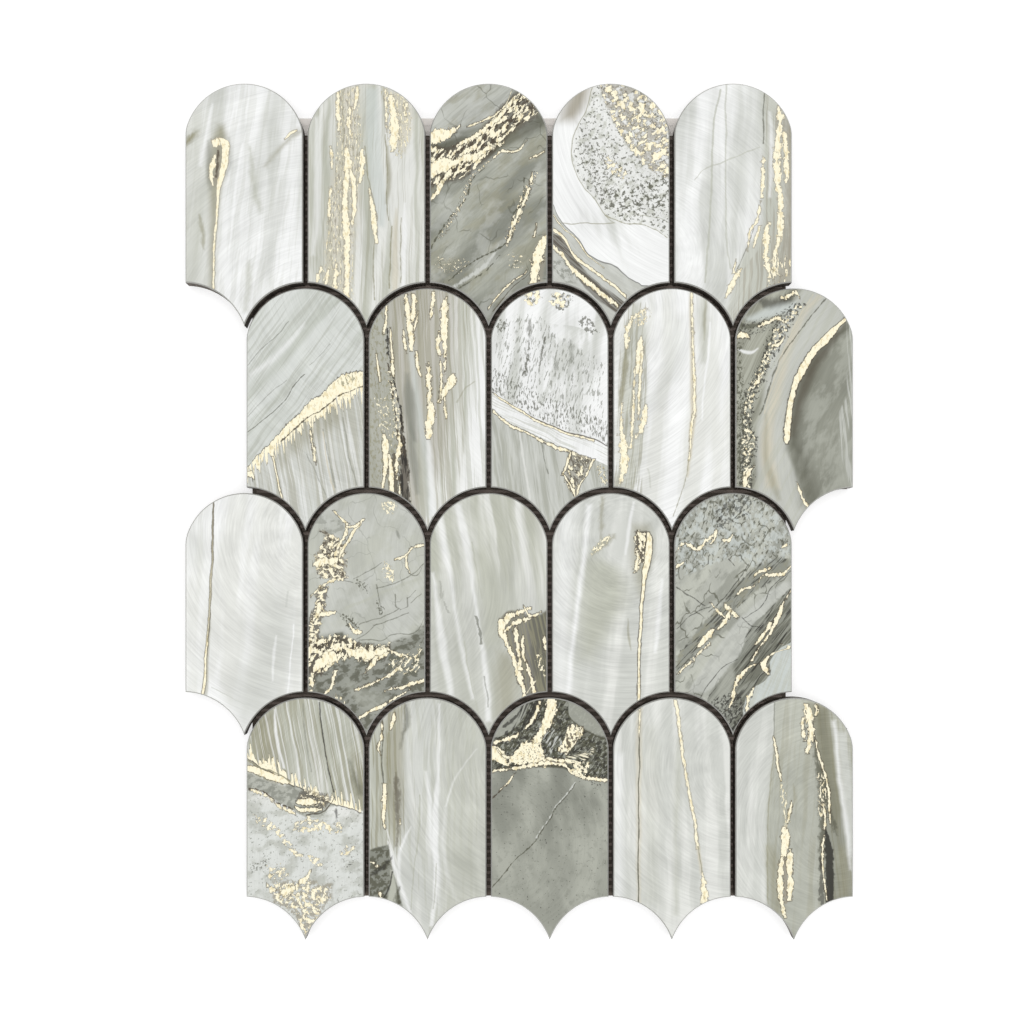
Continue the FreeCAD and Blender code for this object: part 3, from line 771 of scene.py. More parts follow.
def paint_row2_3(face):
    """White field of dark smears over a pale vein, with plain green-grey below."""
    face.ground(WHITE, SILVER, lean=-5, wide=6, low=0.24, high=0.56)
    vein_top = face.side([(0.5, 36.3), (9, 42), (17.5, 46.5), (26, 50), (36, 53), (41, 55.3)])
    vein_bottom = face.side([(0.5, 42), (8, 48), (14, 50.5), (22, 54.5), (30, 57.5), (36, 60), (41, 62)])
    upper = -vein_top
    smears = face.stroke([(1, 26, 14), (12, 22, 14), (24, 30, 14), (40, 40, 14)]).least(upper)
    face.mottle(SILVER, face.stroke([(18, 12, 1), (26, 16, 8), (27, 30, 7), (22, 40, 6)]), 4, 9, -8,
                0.36, 0.6, 0.8)
    face.specks(smears, 0.7, 3.2, -12, 0.555, SLATE, 0.7)
    face.specks(upper.least(face.side([(0.5, 27), (10, 33), (26, 40), (41, 46)])), 0.55, 1.8, -4,
                0.53, MOSS, 0.75)
    face.wash(MOSS, [(13.6, 11, 0.3), (13.6, 14, 0.9), (13.8, 18, 0.2)], 0.8, 0.6, 0.7)
    face.wash(MOSS, [(13.2, 18.5, 0.2), (13, 21, 0.5), (12.4, 26, 0.7), (11.6, 31, 0.3)], 0.5, 0.9, 0.7)
    face.wash(WHITE, [(13, 19, 0.1), (12.6, 21, 0.3), (12.2, 24, 0.3), (11.8, 29, 0.1)], 0.2, 0.9, 0.5)
    face.wash(MOSS, [(18.6, 17, 0.1), (18, 22, 0.3), (17.2, 27, 0.3)], 0.3, 0.8, 0.4)
    face.wash(SLATE, [(28, 18, 0.4), (28.4, 23, 0.8), (27.5, 27, 0.2)], 0.7, 0.6, 0.5)
    face.wash(SLATE, [(23.2, 25, 0.2), (22.6, 28, 0.5), (22.2, 31, 0.1)], 0.5, 0.6, 0.5)
    for spot in ([(12, 3, 0.5), (14.6, 2.6, 2.8), (17, 2, 0.6)], [(21, 4, 0.6), (25, 5, 3), (28, 3.5, 0.6)],
                 [(2.2, 13, 0.5), (3.6, 13.5, 2.2), (5, 13, 0.5)],
                 [(31, 12, 0.6), (34, 13, 2.6), (37, 15, 0.7)]):
        face.specks(face.stroke(spot) + 0.6, 1.0, 1.3, -10, 0.47, MOSS, 0.75)
    face.froth(face.stroke([(12, 3.4, 0.8), (14.6, 3.4, 2.6), (17, 2, 1)]), 1.8, 1.8, 0, 0.47,
               0.43, BROWN, 0.6)
    face.froth(face.stroke([(20.4, 4, 0.8), (24, 4.4, 2.6), (27, 4, 0.8)]), 1.8, 1.8, 0, 0.5,
               0.46, BROWN, 0.6)
    face.fill(STONE, vein_bottom, 0.25, 0.95)
    face.mottle(SILVER, vein_bottom, 3, 26, 6, 0.4, 0.62, 0.75)
    face.bands(SILVER, vein_bottom, lean=9, wide=1.0, long=40, level=0.54, strength=0.6)
    face.fill(WHITE, vein_top.least(-vein_bottom), 0.25, 0.9)
    face.bands(SAGE, vein_top.least(-vein_bottom), lean=65, wide=0.8, long=20, level=0.52, strength=0.5)
    face.line(SLATE, [(17.4, 52), (18.6, 59), (20, 65)], 0.13, 0.9)
    face.line(PEARL, [(10, 50), (11.5, 60), (13.5, 74)], 0.3, 0.7)
    face.brush((60, 60), 0.05)
    face.seam(BROWN, vein_top, 0.18, 0.85)
    face.vein([(1, 36.8, 0.1), (9, 42.2, 0.3), (17.5, 47, 0.3), (26, 50.5, 0.3),
               (36, 53.5, 0.25)], 0.2, 0.35)
    face.trim(BROWN)
    face.vein([(0.5, 43, 0.3), (7, 48, 0.4), (15, 52, 0.3), (22, 55.5, 0.5), (28, 57.5, 0.4),
               (35, 60, 0.3)], 0.35, 0.5)
    wedge = face.side([(28, 57), (26, 65), (29.5, 74)]).least(-face.side([(36, 59), (33, 65), (29.8, 74)]))
    wedge = wedge.least(vein_bottom)
    face.fill(TAUPE, wedge, 0.4, 0.6)
    face.specks(wedge, 0.8, 2.2, 25, 0.5, BROWN, 0.7)
    face.froth(wedge, 1.4, 2.4, 15, 0.555, 0.5, INK)
    face.vein([(28, 57.5, 0.3), (26.6, 62, 0.4), (25, 65.5, 0.3)], 0.3)
    face.vein([(25.4, 65, 0.3), (28, 69, 0.4), (29.6, 73.5, 0.3)], 0.3)
    face.vein([(36, 60, 0.4), (33.6, 65, 0.3), (30.5, 70, 0.25), (29.8, 74, 0.1)], 0.3)
    face.froth(face.stroke([(37.5, 62, 1), (40, 66, 2.4), (41, 69, 2)]), 0.8, 1.2, 0, 0.56, 0.49, MOSS, 0.8)


def paint_row2_4(face):
    """White brushed chip with a ragged gold outline and one thin vein."""
    face.ground(WHITE, PEARL, lean=-4, wide=7, low=0.36, high=0.66)
    face.wash(SAGE, [(8, 5, 1), (8, 14, 3.5), (7, 30, 4.5), (7, 50, 4), (4, 72, 3)], 2, 0.75)
    face.wash(OLIVE, [(5, 18, 0.3), (4.4, 26, 0.8), (3.4, 34, 0.9), (2.4, 41, 0.5)], 0.6, 0.75, 0.3)
    face.bands(OLIVE, face.stroke([(8, 5, 3.4), (7, 30, 5), (5, 72, 5)]), lean=-5, wide=0.8, long=20,
               level=0.54, soft=0.04, strength=0.5)
    face.wash(SAGE, [(32, 2, 1), (32, 14, 1.6), (31.4, 26, 0.6)], 1.4, 0.7)
    face.wash(OLIVE, [(32.6, 4, 0.2), (32.2, 10, 0.5), (31.8, 18, 0.1)], 0.5, 0.6)
    face.wash(WHITE, [(34, 12, 0.2), (33.4, 22, 0.4), (31.6, 36, 0.3), (31, 46, 0.2)], 0.4)
    face.wash(SILVER, [(23, 10, 2), (22, 24, 3), (14, 40, 1.5)], 4, 0.6)
    face.line(SAGE, [(5, 62), (9.5, 60), (12, 63), (13, 70)], 0.2, 0.4)
    face.brush((-10, 8), 0.075)
    face.wash(BEIGE, [(27.2, 1.5, 0.7), (27.8, 24, 0.9), (28, 40, 1.1), (27, 56, 0.7),
                      (26, 66, 0.2)], 0.6, 0.85)
    face.trim(TAUPE)
    face.vein([(27.3, 1.5, 0.3), (27.8, 13, 0.3), (28.2, 26, 0.3), (28.4, 38, 0.4), (27.8, 47, 0.4),
               (27, 54, 0.3), (26.5, 60.5, 0.1)], 0.3, 0.4)
    face.line(OLIVE, [(26.5, 60), (25.6, 66), (23.5, 73), (21, 80)], 0.13, 0.7)
    face.vein([(12, 7, 0.3), (8, 9.5, 0.4), (6, 12, 0.5)], 0.5)
    face.vein([(6.6, 9.5, 0.3), (5, 14, 0.5), (4.6, 18, 0.7), (4.8, 21, 0.2)], 0.6)
    face.froth(face.stroke([(7, 12, 2), (10, 10.5, 3), (12.6, 9, 1.4)]), 1.0, 1.2, 0, 0.54, 0.48, TAUPE, 0.7)
    face.vein([(9.8, 17, 0.1), (9.2, 22, 1.0), (8.8, 26, 0.9), (8.4, 30, 0.6)], 0.3)
    face.vein([(10, 22, 0.4), (9.8, 30, 0.4), (9.3, 37, 0.4), (8.8, 46, 0.2)], 0.3)
    face.vein([(7.6, 28, 0.1), (7.2, 37, 0.3), (6.6, 48, 0.4), (6, 56, 0.2)], 0.4)
    face.vein([(3, 40, 0.2), (2.8, 48, 0.4), (3.4, 54, 0.9), (3.8, 59, 1.3), (3.4, 64, 0.8),
               (2.4, 69, 0.2)], 0.6)
    face.vein([(11.4, 41, 0.2), (10.8, 46, 0.9), (10, 49, 0.9), (8, 52.5, 0.3)], 0.7)


def paint_row2_5(face):
    """Dark green-grey stone with a thick curved vein and a string of gold curls."""
    face.ground(STONE, SLATE, lean=-24, wide=6, long=60, low=0.36, high=0.66)
    face.fill(OLIVE, face.everywhere(), 0.3, 0.25)
    bend = face.side([(38.4, 10), (31, 18), (25.5, 24), (22.5, 31), (20, 38), (18, 46), (18, 53),
                      (21, 64), (25, 76)])
    sweep = [face.side([(30, 0), (20, 16), (14.5, 28), (11, 41), (8, 50), (8, 64), (10, 78)]),
             face.side([(24, 0), (16, 12), (13, 20), (11, 30), (9.4, 42), (7.4, 48)])]
    face.fill(SILVER, sweep[1].least(-bend), 1.2, 0.75)
    face.wash(BEIGE, [(30, 2, 1), (22, 12, 1.4), (14, 38, 1.6), (11, 54, 2), (13, 70, 2.4)], 1.6, 0.7)
    face.wash(OLIVE, [(10.6, 44, 0.3), (10.8, 58, 0.7), (13, 68, 1.2), (15, 74, 0.6)], 1.0, 0.5)
    face.bands(SAGE, -bend, lean=-28, wide=1.0, long=60, level=0.53, strength=0.5)
    face.fill(SLATE, bend, 1.5, 0.6)
    face.mottle(STONE, bend, 5, 12, -30, 0.42, 0.62, 0.75)
    face.wash(MOSS, [(40, 13, 1), (30, 22, 2.5), (25, 32, 3), (21, 44, 2.4), (20, 56, 1.5)], 3, 0.7)
    face.wash(STONE, [(41, 16, 1), (41, 40, 1), (38, 50, 2), (38, 70, 3)], 1.6, 0.6)
    face.bands(SILVER, face.side([(39, 38), (36, 48), (39, 66), (40, 70)]), lean=6, wide=0.9, long=30,
               level=0.5, strength=0.6)
    face.wash(BROWN, [(38, 13, 0.5), (32, 21, 1.4), (26, 30, 1.8), (22.4, 40, 1.4), (20, 52, 0.6)], 1.8, 0.5)
    face.wash(MOSS, [(22, 56, 1), (25, 68, 3), (26, 76, 3)], 3, 0.6)
    face.line(MOSS, [(31.6, 3.5), (24, 13), (18, 21), (14.5, 27), (12, 34), (10.5, 40), (8.4, 44.5)],
              0.2, 0.75, 0.2)
    face.line(BEIGE, [(27, 2), (18, 19), (14, 30), (10, 44)], 0.2, 0.6)
    corner = -face.side([(0, 21), (6, 18), (14, 15), (22, 6), (24, 0)])
    face.wash(INK, [(8, 4, 0.4), (12, 5.6, 2), (20, 3, 1.6)], 1.4, 0.65, 0.5)
    face.wash(MIST, [(4, 11, 0.6), (12, 8.6, 1.8), (21, 6, 1)], 1.4, 0.85)
    face.wash(MOSS, [(0, 14, 0.4), (8, 12.8, 0.8), (16, 9.6, 0.3)], 0.6, 0.7, 0.3)
    face.wash(WHITE, [(1, 21.4, 0.2), (4, 22.4, 0.6), (8, 21, 0.2)], 0.4, 0.8)
    face.specks(corner.least(face.stroke([(0, 15, 3), (10, 13, 3), (20, 9, 4)])), 1.0, 0.8, 30,
                0.53, INK, 0.7)
    string = face.stroke([(22.5, 6, 1.4), (17.5, 12, 1.6), (14, 18, 2.2), (10.5, 26, 1.6), (8, 32, 1.8),
                          (4.6, 40, 1.5), (4, 48, 1.2), (4.4, 54, 2.4), (4, 62, 1.4), (3.6, 72, 2.4)])
    face.specks(string + 1.2, 1.1, 1.3, -20, 0.475, INK, 0.8)
    face.specks(-face.side([(3, 30), (4, 40), (4.5, 60), (5, 76)]), 0.9, 1.4, 0, 0.5, MOSS, 0.8)
    face.brush((70, 60), 0.045)
    face.froth(string, 1.1, 1.3, -20, 0.54, 0.5, MOSS, 0.8)
    face.trim(BROWN, 0.5)
    face.vein([(15.6, 3.6, 0.3), (19, 2.6, 0.6), (21, 1.6, 0.6), (22.4, 3.6, 0.2)], 0.7)
    face.vein([(7.8, 13.6, 0.3), (11.4, 12.2, 0.5), (15, 10.6, 0.6), (17, 11.6, 0.3)], 0.6)
    face.vein([(0.6, 17, 0.3), (2.4, 16.6, 0.9), (5, 17.4, 0.3)], 0.3)
    face.vein([(12.6, 20.4, 0.3), (15.4, 19.4, 0.5), (17, 17, 0.4)], 0.4)
    face.vein([(8.6, 30, 0.2), (7.6, 33, 0.6), (6.6, 34, 0.2)], 0.5)
    face.vein([(3, 75, 0.6), (3.8, 66, 0.7), (6.4, 62, 0.2)], 0.5)
    face.vein([(38.6, 10.6, 0.7), (35, 14, 1.0), (31, 18.5, 1.6), (26.5, 23.5, 1.4), (23.6, 28, 1.4),
               (21.8, 32, 1.1), (20, 37, 0.8), (19, 42, 0.9), (18.4, 47, 1.0), (18, 52, 0.9),
               (18, 54.5, 0.2)], 0.25, 0.6)
    face.vein([(21.6, 68, 0.2), (23, 72.5, 0.4), (25.4, 76.8, 0.3)], 0.4, 0.4, GOLD_EDGE)


def paint_row3_1(face):
    """White brushed chip with one long thin vein."""
    face.ground(WHITE, PEARL, lean=-5, wide=8, low=0.38, high=0.7)
    face.wash(SILVER, [(32, 34, 3), (32, 50, 7), (26, 66, 9), (24, 80, 6)], 8, 0.9)
    face.wash(WHITE, [(9, 66, 2), (11, 72, 3), (16, 78, 2)], 2.5, 0.8)
    face.wash(SILVER, [(2, 14, 2), (4, 20, 3), (3, 26, 1)], 3, 0.5)
    face.wash(WHITE, [(32, 50, 0.2), (31, 58, 0.5), (30.5, 66, 0.2)], 0.4, 0.6)
    face.line(WHITE, [(38, 46), (37, 58), (35.8, 72)], 0.22, 0.8)
    face.line(SILVER, [(36, 34), (35.2, 40)], 0.3, 0.9)
    face.line(SILVER, [(9, 68), (15, 71), (21, 74), (27, 76)], 0.2, 0.8)
    face.brush((46, 14), 0.075, 0.7)
    face.wash(OLIVE, [(9.8, 4, 0.2), (9.6, 20, 0.3), (9, 32, 0.3), (8.4, 45, 0.5), (7.6, 60, 0.7),
                      (6.8, 74, 0.7)], 0.4, 0.5)
    face.vein([(9.8, 3, 0.06), (9.6, 14, 0.12), (9.3, 25, 0.2), (9, 34, 0.26), (8.5, 43, 0.2),
               (7.7, 52, 0.3), (7, 62, 0.36), (6, 73.5, 0.4)], 0.1, 0.42)
    face.line(MOSS, [(9.8, 3), (9.6, 14), (9.3, 25), (9, 34), (8.6, 43), (7.8, 52)], 0.1, 0.75)


def paint_row3_2(face):
    """Grey-green stones with fine cracks in a thick web of gold."""
    face.ground(STONE, SAGE, lean=-30, wide=10, long=20, low=0.36, high=0.62)
    face.fill(SILVER, face.everywhere(), 0.3, 0.3)
    face.mottle(SILVER, face.everywhere(), 9, 12, -20, 0.4, 0.62, 0.6)
    lower = face.side([(0, 52), (12, 49), (16, 52), (25, 53), (33, 51), (41, 46)])
    face.fill(SLATE, lower, 1.6, 0.8)
    face.mottle(MOSS, lower, 3.5, 2.4, 25, 0.44, 0.6, 0.75)
    face.fill(STONE, face.stroke([(13, 66, 1), (20, 72, 3.5), (28, 74, 4)]), 2, 0.6)
    face.cracks(face.everywhere(), 9, 60, 0.01, SLATE, 0.35)
    face.mottle(SLATE, face.stroke([(1, 8, 2), (8, 12, 6), (14, 16, 2)]), 5, 3, 0, 0.48, 0.6, 0.5)
    face.wash(SLATE, [(31.4, 13, 0.1), (31.6, 14.5, 0.5), (32, 16, 0.1)], 0.4, 0.7)
    face.line(SAGE, [(13, 40.5), (20, 37.5), (28, 34), (41, 29)], 0.5, 0.5)
    face.brush((60, 20), 0.045)
    for crack in ([(16, 30), (21, 27.5), (26, 24.6)], [(13, 30.5), (16, 31.3)],
                  [(40.5, 25), (35, 29.6), (24, 33.5)], [(35, 27.4), (37.4, 28.8), (40.6, 25)],
                  [(24, 32), (25.2, 38), (26, 42)], [(30.6, 35.4), (30.9, 39.4), (32.8, 41)],
                  [(32.6, 41), (35, 39.4), (35, 36.4)], [(35, 37), (38, 34)], [(36, 38.6), (40, 35.4)],
                  [(18, 51.4), (25, 51.6), (30, 49.6), (37, 49), (40.5, 44)],
                  [(23, 46.5), (29, 44.4), (35.5, 42)], [(18, 46), (26, 43.4), (32, 40.6)],
                  [(17, 51), (21, 49), (24, 46)]):
        face.line(MOSS, crack, 0.13, 0.6, 0.08)
    face.trim(BROWN, 0.4)
    face.vein([(36, 19.6, 0.2), (34.6, 24, 0.3), (36, 28, 0.2)], 0.3)
    web = face.stroke([(5, 13, 0.3), (8.5, 18, 3.5), (8, 24, 5.4), (9, 30, 4.5)], 0.8)
    face.fill(TAUPE, web, 0.3, 0.8)
    face.specks(web, 1.3, 1.3, 0, 0.46, BROWN, 0.8)
    face.froth(web, 1.8, 1.6, -20, 0.505, 0.46, BROWN, 0.85)
    face.vein([(9, 6, 0.2), (11.6, 8.6, 0.4), (14, 11, 0.7)], 0.4)
    face.vein([(19.6, 9, 0.3), (17, 12.4, 0.5), (14.6, 16.4, 0.5), (12, 20.6, 0.4), (11, 23, 0.4)], 0.35)
    face.vein([(14, 10.6, 0.6), (13.6, 14, 0.5), (11, 18.4, 0.5), (9.6, 22, 0.7)], 0.45)
    face.vein([(13.6, 11.8, 0.3), (16.4, 11.6, 0.5), (18.4, 10.4, 0.3)], 0.3)
    face.vein([(2, 25, 0.8), (6, 24, 1.3), (10.6, 23.4, 0.9)], 0.8, 0.5)
    face.vein([(12.6, 30, 0.4), (8, 31, 0.5), (5, 33, 0.5), (1, 36, 0.4)], 0.5)
    stem = face.stroke([(5.6, 33, 1.4), (4.6, 38, 1.6), (3.4, 43, 2.2), (2, 48, 1.8), (2, 54, 1.6)], 0.6)
    face.fill(BROWN, stem + 0.3, 0.3, 0.7)
    face.froth(stem, 1.5, 1.2, 0, 0.5, 0.45, BROWN, 0.85)
    face.vein([(2, 43, 0.5), (6, 42.4, 0.7), (10, 41.6, 0.2)], 0.5)
    face.vein([(4.4, 38, 0.4), (3.6, 42, 0.6), (1.6, 45, 0.4)], 0.5)
    face.specks(face.stroke([(12.6, 42, 0.8), (15, 45, 2.4), (17, 49, 1.2)]), 0.9, 1.2, 10, 0.47, MOSS, 0.85)
    face.vein([(14.6, 45.4, 0.1), (16.6, 48, 0.7), (19, 48.6, 0.2)], 0.5)
    band = face.stroke([(0, 58, 6), (5, 57, 6), (9, 55, 5), (14, 54, 3.4), (20, 56, 3), (26, 56, 2.6),
                        (29, 54, 1.2)], 0.9)
    face.fill(BROWN, band + 0.2, 0.4, 0.75)
    face.froth(band, 2.8, 1.7, 60, 0.485, 0.45, BROWN, 0.85)
    face.vein([(2, 62, 1.0), (5, 59, 2.2), (9, 57.5, 1.6), (11, 60, 0.5)], 0.9, 0.5)
    face.vein([(12, 53, 0.8), (17, 56.4, 1.4), (22, 56.4, 1.4), (28, 54.4, 0.8)], 0.9, 0.5)
    face.vein([(24, 57, 0.5), (22.6, 60, 0.8), (20, 63, 0.3)], 0.6, 0.5)
    face.vein([(10, 62, 0.5), (8.4, 67, 0.5), (6, 71, 0.4)], 0.6)
    face.vein([(1.6, 63, 0.6), (1.4, 72, 0.6)], 0.8, 0.5)
    face.vein([(28, 54.6, 0.3), (32, 56.6, 0.4), (36, 57.6, 0.2)], 0.5)
    face.vein([(16.6, 69, 0.2), (21, 67.6, 0.4), (26, 65, 0.3), (31, 62, 0.6), (34, 58.6, 0.2)], 0.5, 0.5)
    face.vein([(27, 69, 0.2), (33, 68, 0.4), (41, 65.4, 0.6)], 0.5, 0.5)
    face.vein([(17, 80, 0.5), (22, 76.6, 0.5), (30, 72.4, 0.4), (36, 68.6, 0.2)], 0.4, 0.5)
    face.froth(face.stroke([(27.4, 24, 0.6), (28.6, 28, 1.6), (29.4, 31, 0.6)]), 0.9, 1.0, 0,
               0.5, 0.45, MOSS)
    face.vein([(30.5, 23.4, 0.2), (34, 22, 0.3), (37, 19.4, 0.3), (41, 18, 0.3)], 0.4)
    face.froth(face.stroke([(26, 4.4, 0.8), (28.4, 5, 2.2), (31, 4.4, 0.8)]), 1.0, 1.0, 0, 0.5, 0.46, MOSS)
    face.specks(face.stroke([(16.4, 30, 0.8), (18.6, 32, 2), (22, 34, 1)]), 0.9, 0.9, 0, 0.49, MOSS, 0.7)
    face.specks(face.stroke([(24.4, 37, 0.6), (25.4, 41, 1.2), (25.6, 43, 0.6)]), 0.8, 1.2, 0, 0.47, MOSS)
    face.froth(face.stroke([(28, 60, 1), (36, 60, 4), (40, 56, 4)]), 1.6, 1.0, 50, 0.55, 0.5, MOSS)
    face.froth(face.stroke([(8, 72, 1), (12, 74, 2.4), (14, 77, 1)]), 0.7, 1.8, 0, 0.53, 0.47, BROWN)


def paint_row3_3(face):
    """Pale leaning bands with a dark corner and a hooked gold vein."""
    face.ground(PEARL, SAGE, lean=7, wide=5, long=80, low=0.36, high=0.74)
    face.fill(SILVER, face.side([(0, 34), (20, 30), (41, 36)]), 12, 0.5)
    face.fill(STONE, face.side([(0, 38), (20, 34), (41, 40)]), 16, 0.3)
    face.wash(WHITE, [(3.6, 8, 0.8), (5.4, 20, 1.0), (8, 34, 0.5), (9.6, 46, 0.5), (12, 58, 0.6),
                      (15, 72, 0.6)], 0.9, 0.65)
    face.wash(WHITE, [(9.6, 4, 1.2), (12, 14, 1.4), (14, 24, 1.0), (15.4, 36, 0.6), (17, 46, 0.6),
                      (18.6, 56, 0.8), (20, 68, 1.0), (20.6, 80, 1.0)], 0.8, 0.7)
    face.wash(WHITE, [(1, 28, 0.6), (3, 42, 1.0), (4.4, 54, 1.4), (7, 68, 0.9), (8, 76, 0.6)], 0.9, 0.65)
    face.wash(SAGE, [(17, 20, 2), (21, 32, 4), (23, 46, 4.4), (22, 54, 2)], 3, 0.75)
    face.wash(SAGE, [(24, 16, 0.3), (25.6, 24, 0.5), (28, 34, 0.2)], 0.6, 0.8)
    face.wash(OLIVE, [(26, 56, 2), (27, 66, 4), (26, 78, 3)], 3, 0.55)
    face.line(SAGE, [(14.8, 17), (17, 30), (18.4, 37)], 0.2, 0.7)
    face.line(SLATE, [(16, 43), (17.6, 49), (18, 53)], 0.3, 0.85, 0.3)
    face.line(SLATE, [(19, 64), (20, 70), (20.4, 75)], 0.2, 0.6)
    face.line(SLATE, [(3.6, 31), (4.6, 37), (6.6, 42)], 0.3, 0.4, 0.5)
    face.line(SAGE, [(12, 52), (14, 64), (16.6, 76)], 0.16, 0.7)
    face.brush((-14, 34), 0.065, 0.6)
    corner = face.side([(24.6, 42), (26, 48), (29, 56), (31.6, 64),
                        (33.6, 76)]).least(face.side([(24, 44), (30, 41), (36, 43), (41, 41)]))
    face.fill(BROWN, corner, 0.5, 0.65)
    face.fill(MOSS, corner.least(face.side([(34.6, 46), (35.6, 60), (38.6, 74)])), 1.2, 0.6)
    face.bands(OLIVE, corner, lean=12, wide=0.8, long=20, level=0.52, soft=0.04, strength=0.6)
    face.trim(BROWN, 0.5)
    face.vein([(24.6, 49, 0.1), (25, 47, 2.0), (26.6, 44.6, 1.8), (28.4, 43, 0.9), (32, 41.6, 0.6),
               (35.4, 40.4, 0.3)], 0.6)
    face.vein([(25, 44, 0.7), (25.4, 48, 1.2), (27.2, 53, 0.6), (29.2, 57.6, 0.6), (30.8, 62, 1.0),
               (31.4, 65, 1.0), (32.8, 69, 0.5), (33.4, 74, 0.4)], 0.5)
    face.vein([(30, 45.6, 0.3), (30.4, 50, 0.5), (31.2, 56, 0.5), (31.8, 62, 0.7)], 0.5)
    face.vein([(33, 50, 0.1), (32.4, 54, 0.4), (34, 60, 0.4), (35.6, 66, 0.5), (37.6, 73, 0.4)], 0.45)
    face.vein([(26, 48.6, 0.3), (30, 45.6, 0.7), (34, 44, 0.4), (37, 43, 0.1)], 0.6)
    face.vein([(33, 40, 0.5), (36, 43, 0.4), (39, 41.4, 0.1)], 0.4)
    face.line(GOLD, [(34, 70), (35.4, 68), (37, 66)], 0.14, 0.8)
    face.vein([(40.2, 50, 0.2), (40.4, 53, 0.5), (41, 55, 0.3)], 0.4)
    face.froth(face.stroke([(38.6, 56, 0.6), (38.8, 60, 1.4), (40, 64, 0.6)]), 0.8, 1.2, 0, 0.55, 0.5, MOSS)


def paint_row3_4(face):
    """Brushed white chip with a gold hook and a straight pale streak."""
    face.ground(PEARL, SILVER, lean=-5, wide=7, low=0.44, high=0.78)
    face.wash(WHITE, [(5, 5, 3), (4, 30, 3), (3, 60, 3), (6, 78, 3)], 4, 0.6)
    face.wash(SAGE, [(14, 22, 2), (18, 34, 8), (15, 46, 6), (12, 58, 2)], 5, 0.95)
    face.wash(OLIVE, [(17.4, 1, 0.5), (17.4, 8, 0.7), (17, 16, 0.2)], 0.8, 0.55, 0.4)
    face.wash(OLIVE, [(31, 11, 3), (31.6, 20, 4), (31, 30, 2), (31, 36, 0.5)], 2.2, 0.55)
    face.wash(SILVER, [(28, 40, 0.4), (26.6, 50, 1.4), (28, 58, 0.4)], 1.2, 0.6)
    face.wash(OLIVE, [(26.4, 44, 0.1), (27, 50, 0.4), (27.6, 55, 0.1)], 0.4, 0.6)
    face.wash(WHITE, [(13, 4, 0.9), (11.4, 20, 0.9), (10, 32, 0.9), (8.4, 44, 0.8), (6.6, 58, 0.8),
                      (5.6, 72, 0.8)], 1.0, 0.85)
    face.wash(WHITE, [(28.6, 3, 0.3), (27, 12, 0.6), (25.6, 22, 0.3)], 0.5, 0.7)
    face.wash(WHITE, [(38.6, 30, 0.4), (37, 46, 0.8), (36, 56, 0.4)], 0.7, 0.7)
    face.wash(OLIVE, [(14, 21, 1.2), (17.4, 18, 1.6), (22, 15, 0.6)], 1.0, 0.6, 0.6)
    face.brush((26, 16), 0.085, 0.6)
    face.froth(face.stroke([(14, 20.6, 0.6), (17.2, 17.8, 1.6), (20, 15.6, 0.4)]), 1.2, 0.8, 50,
               0.5, 0.44, OLIVE)
    hook = face.stroke([(31, 13.4, 2), (31, 20, 1.8), (29.6, 27, 0.9)], 0.7)
    face.fill(BROWN, hook, 0.4, 0.8)
    face.froth(hook, 1.0, 1.8, -6, 0.52, 0.46, BROWN)
    face.vein([(30, 14, 0.4), (31.4, 15.6, 1.0), (33, 16.6, 0.3)], 0.6, 0.5, BROWN)
    face.vein([(33.6, 14, 0.3), (34, 17, 0.9), (33.8, 21, 1.1), (33.2, 25, 1.1), (32.4, 29, 0.8),
               (31.8, 34, 0.5), (31.2, 42, 0.4), (30.8, 52, 0.36), (30.4, 62, 0.34), (30.2, 74, 0.4)],
              0.14, 0.5, BROWN)
    face.vein([(30.2, 20, 0.1), (29.8, 24, 0.4), (29, 28, 0.2)], 0.5, 0.4, BROWN)


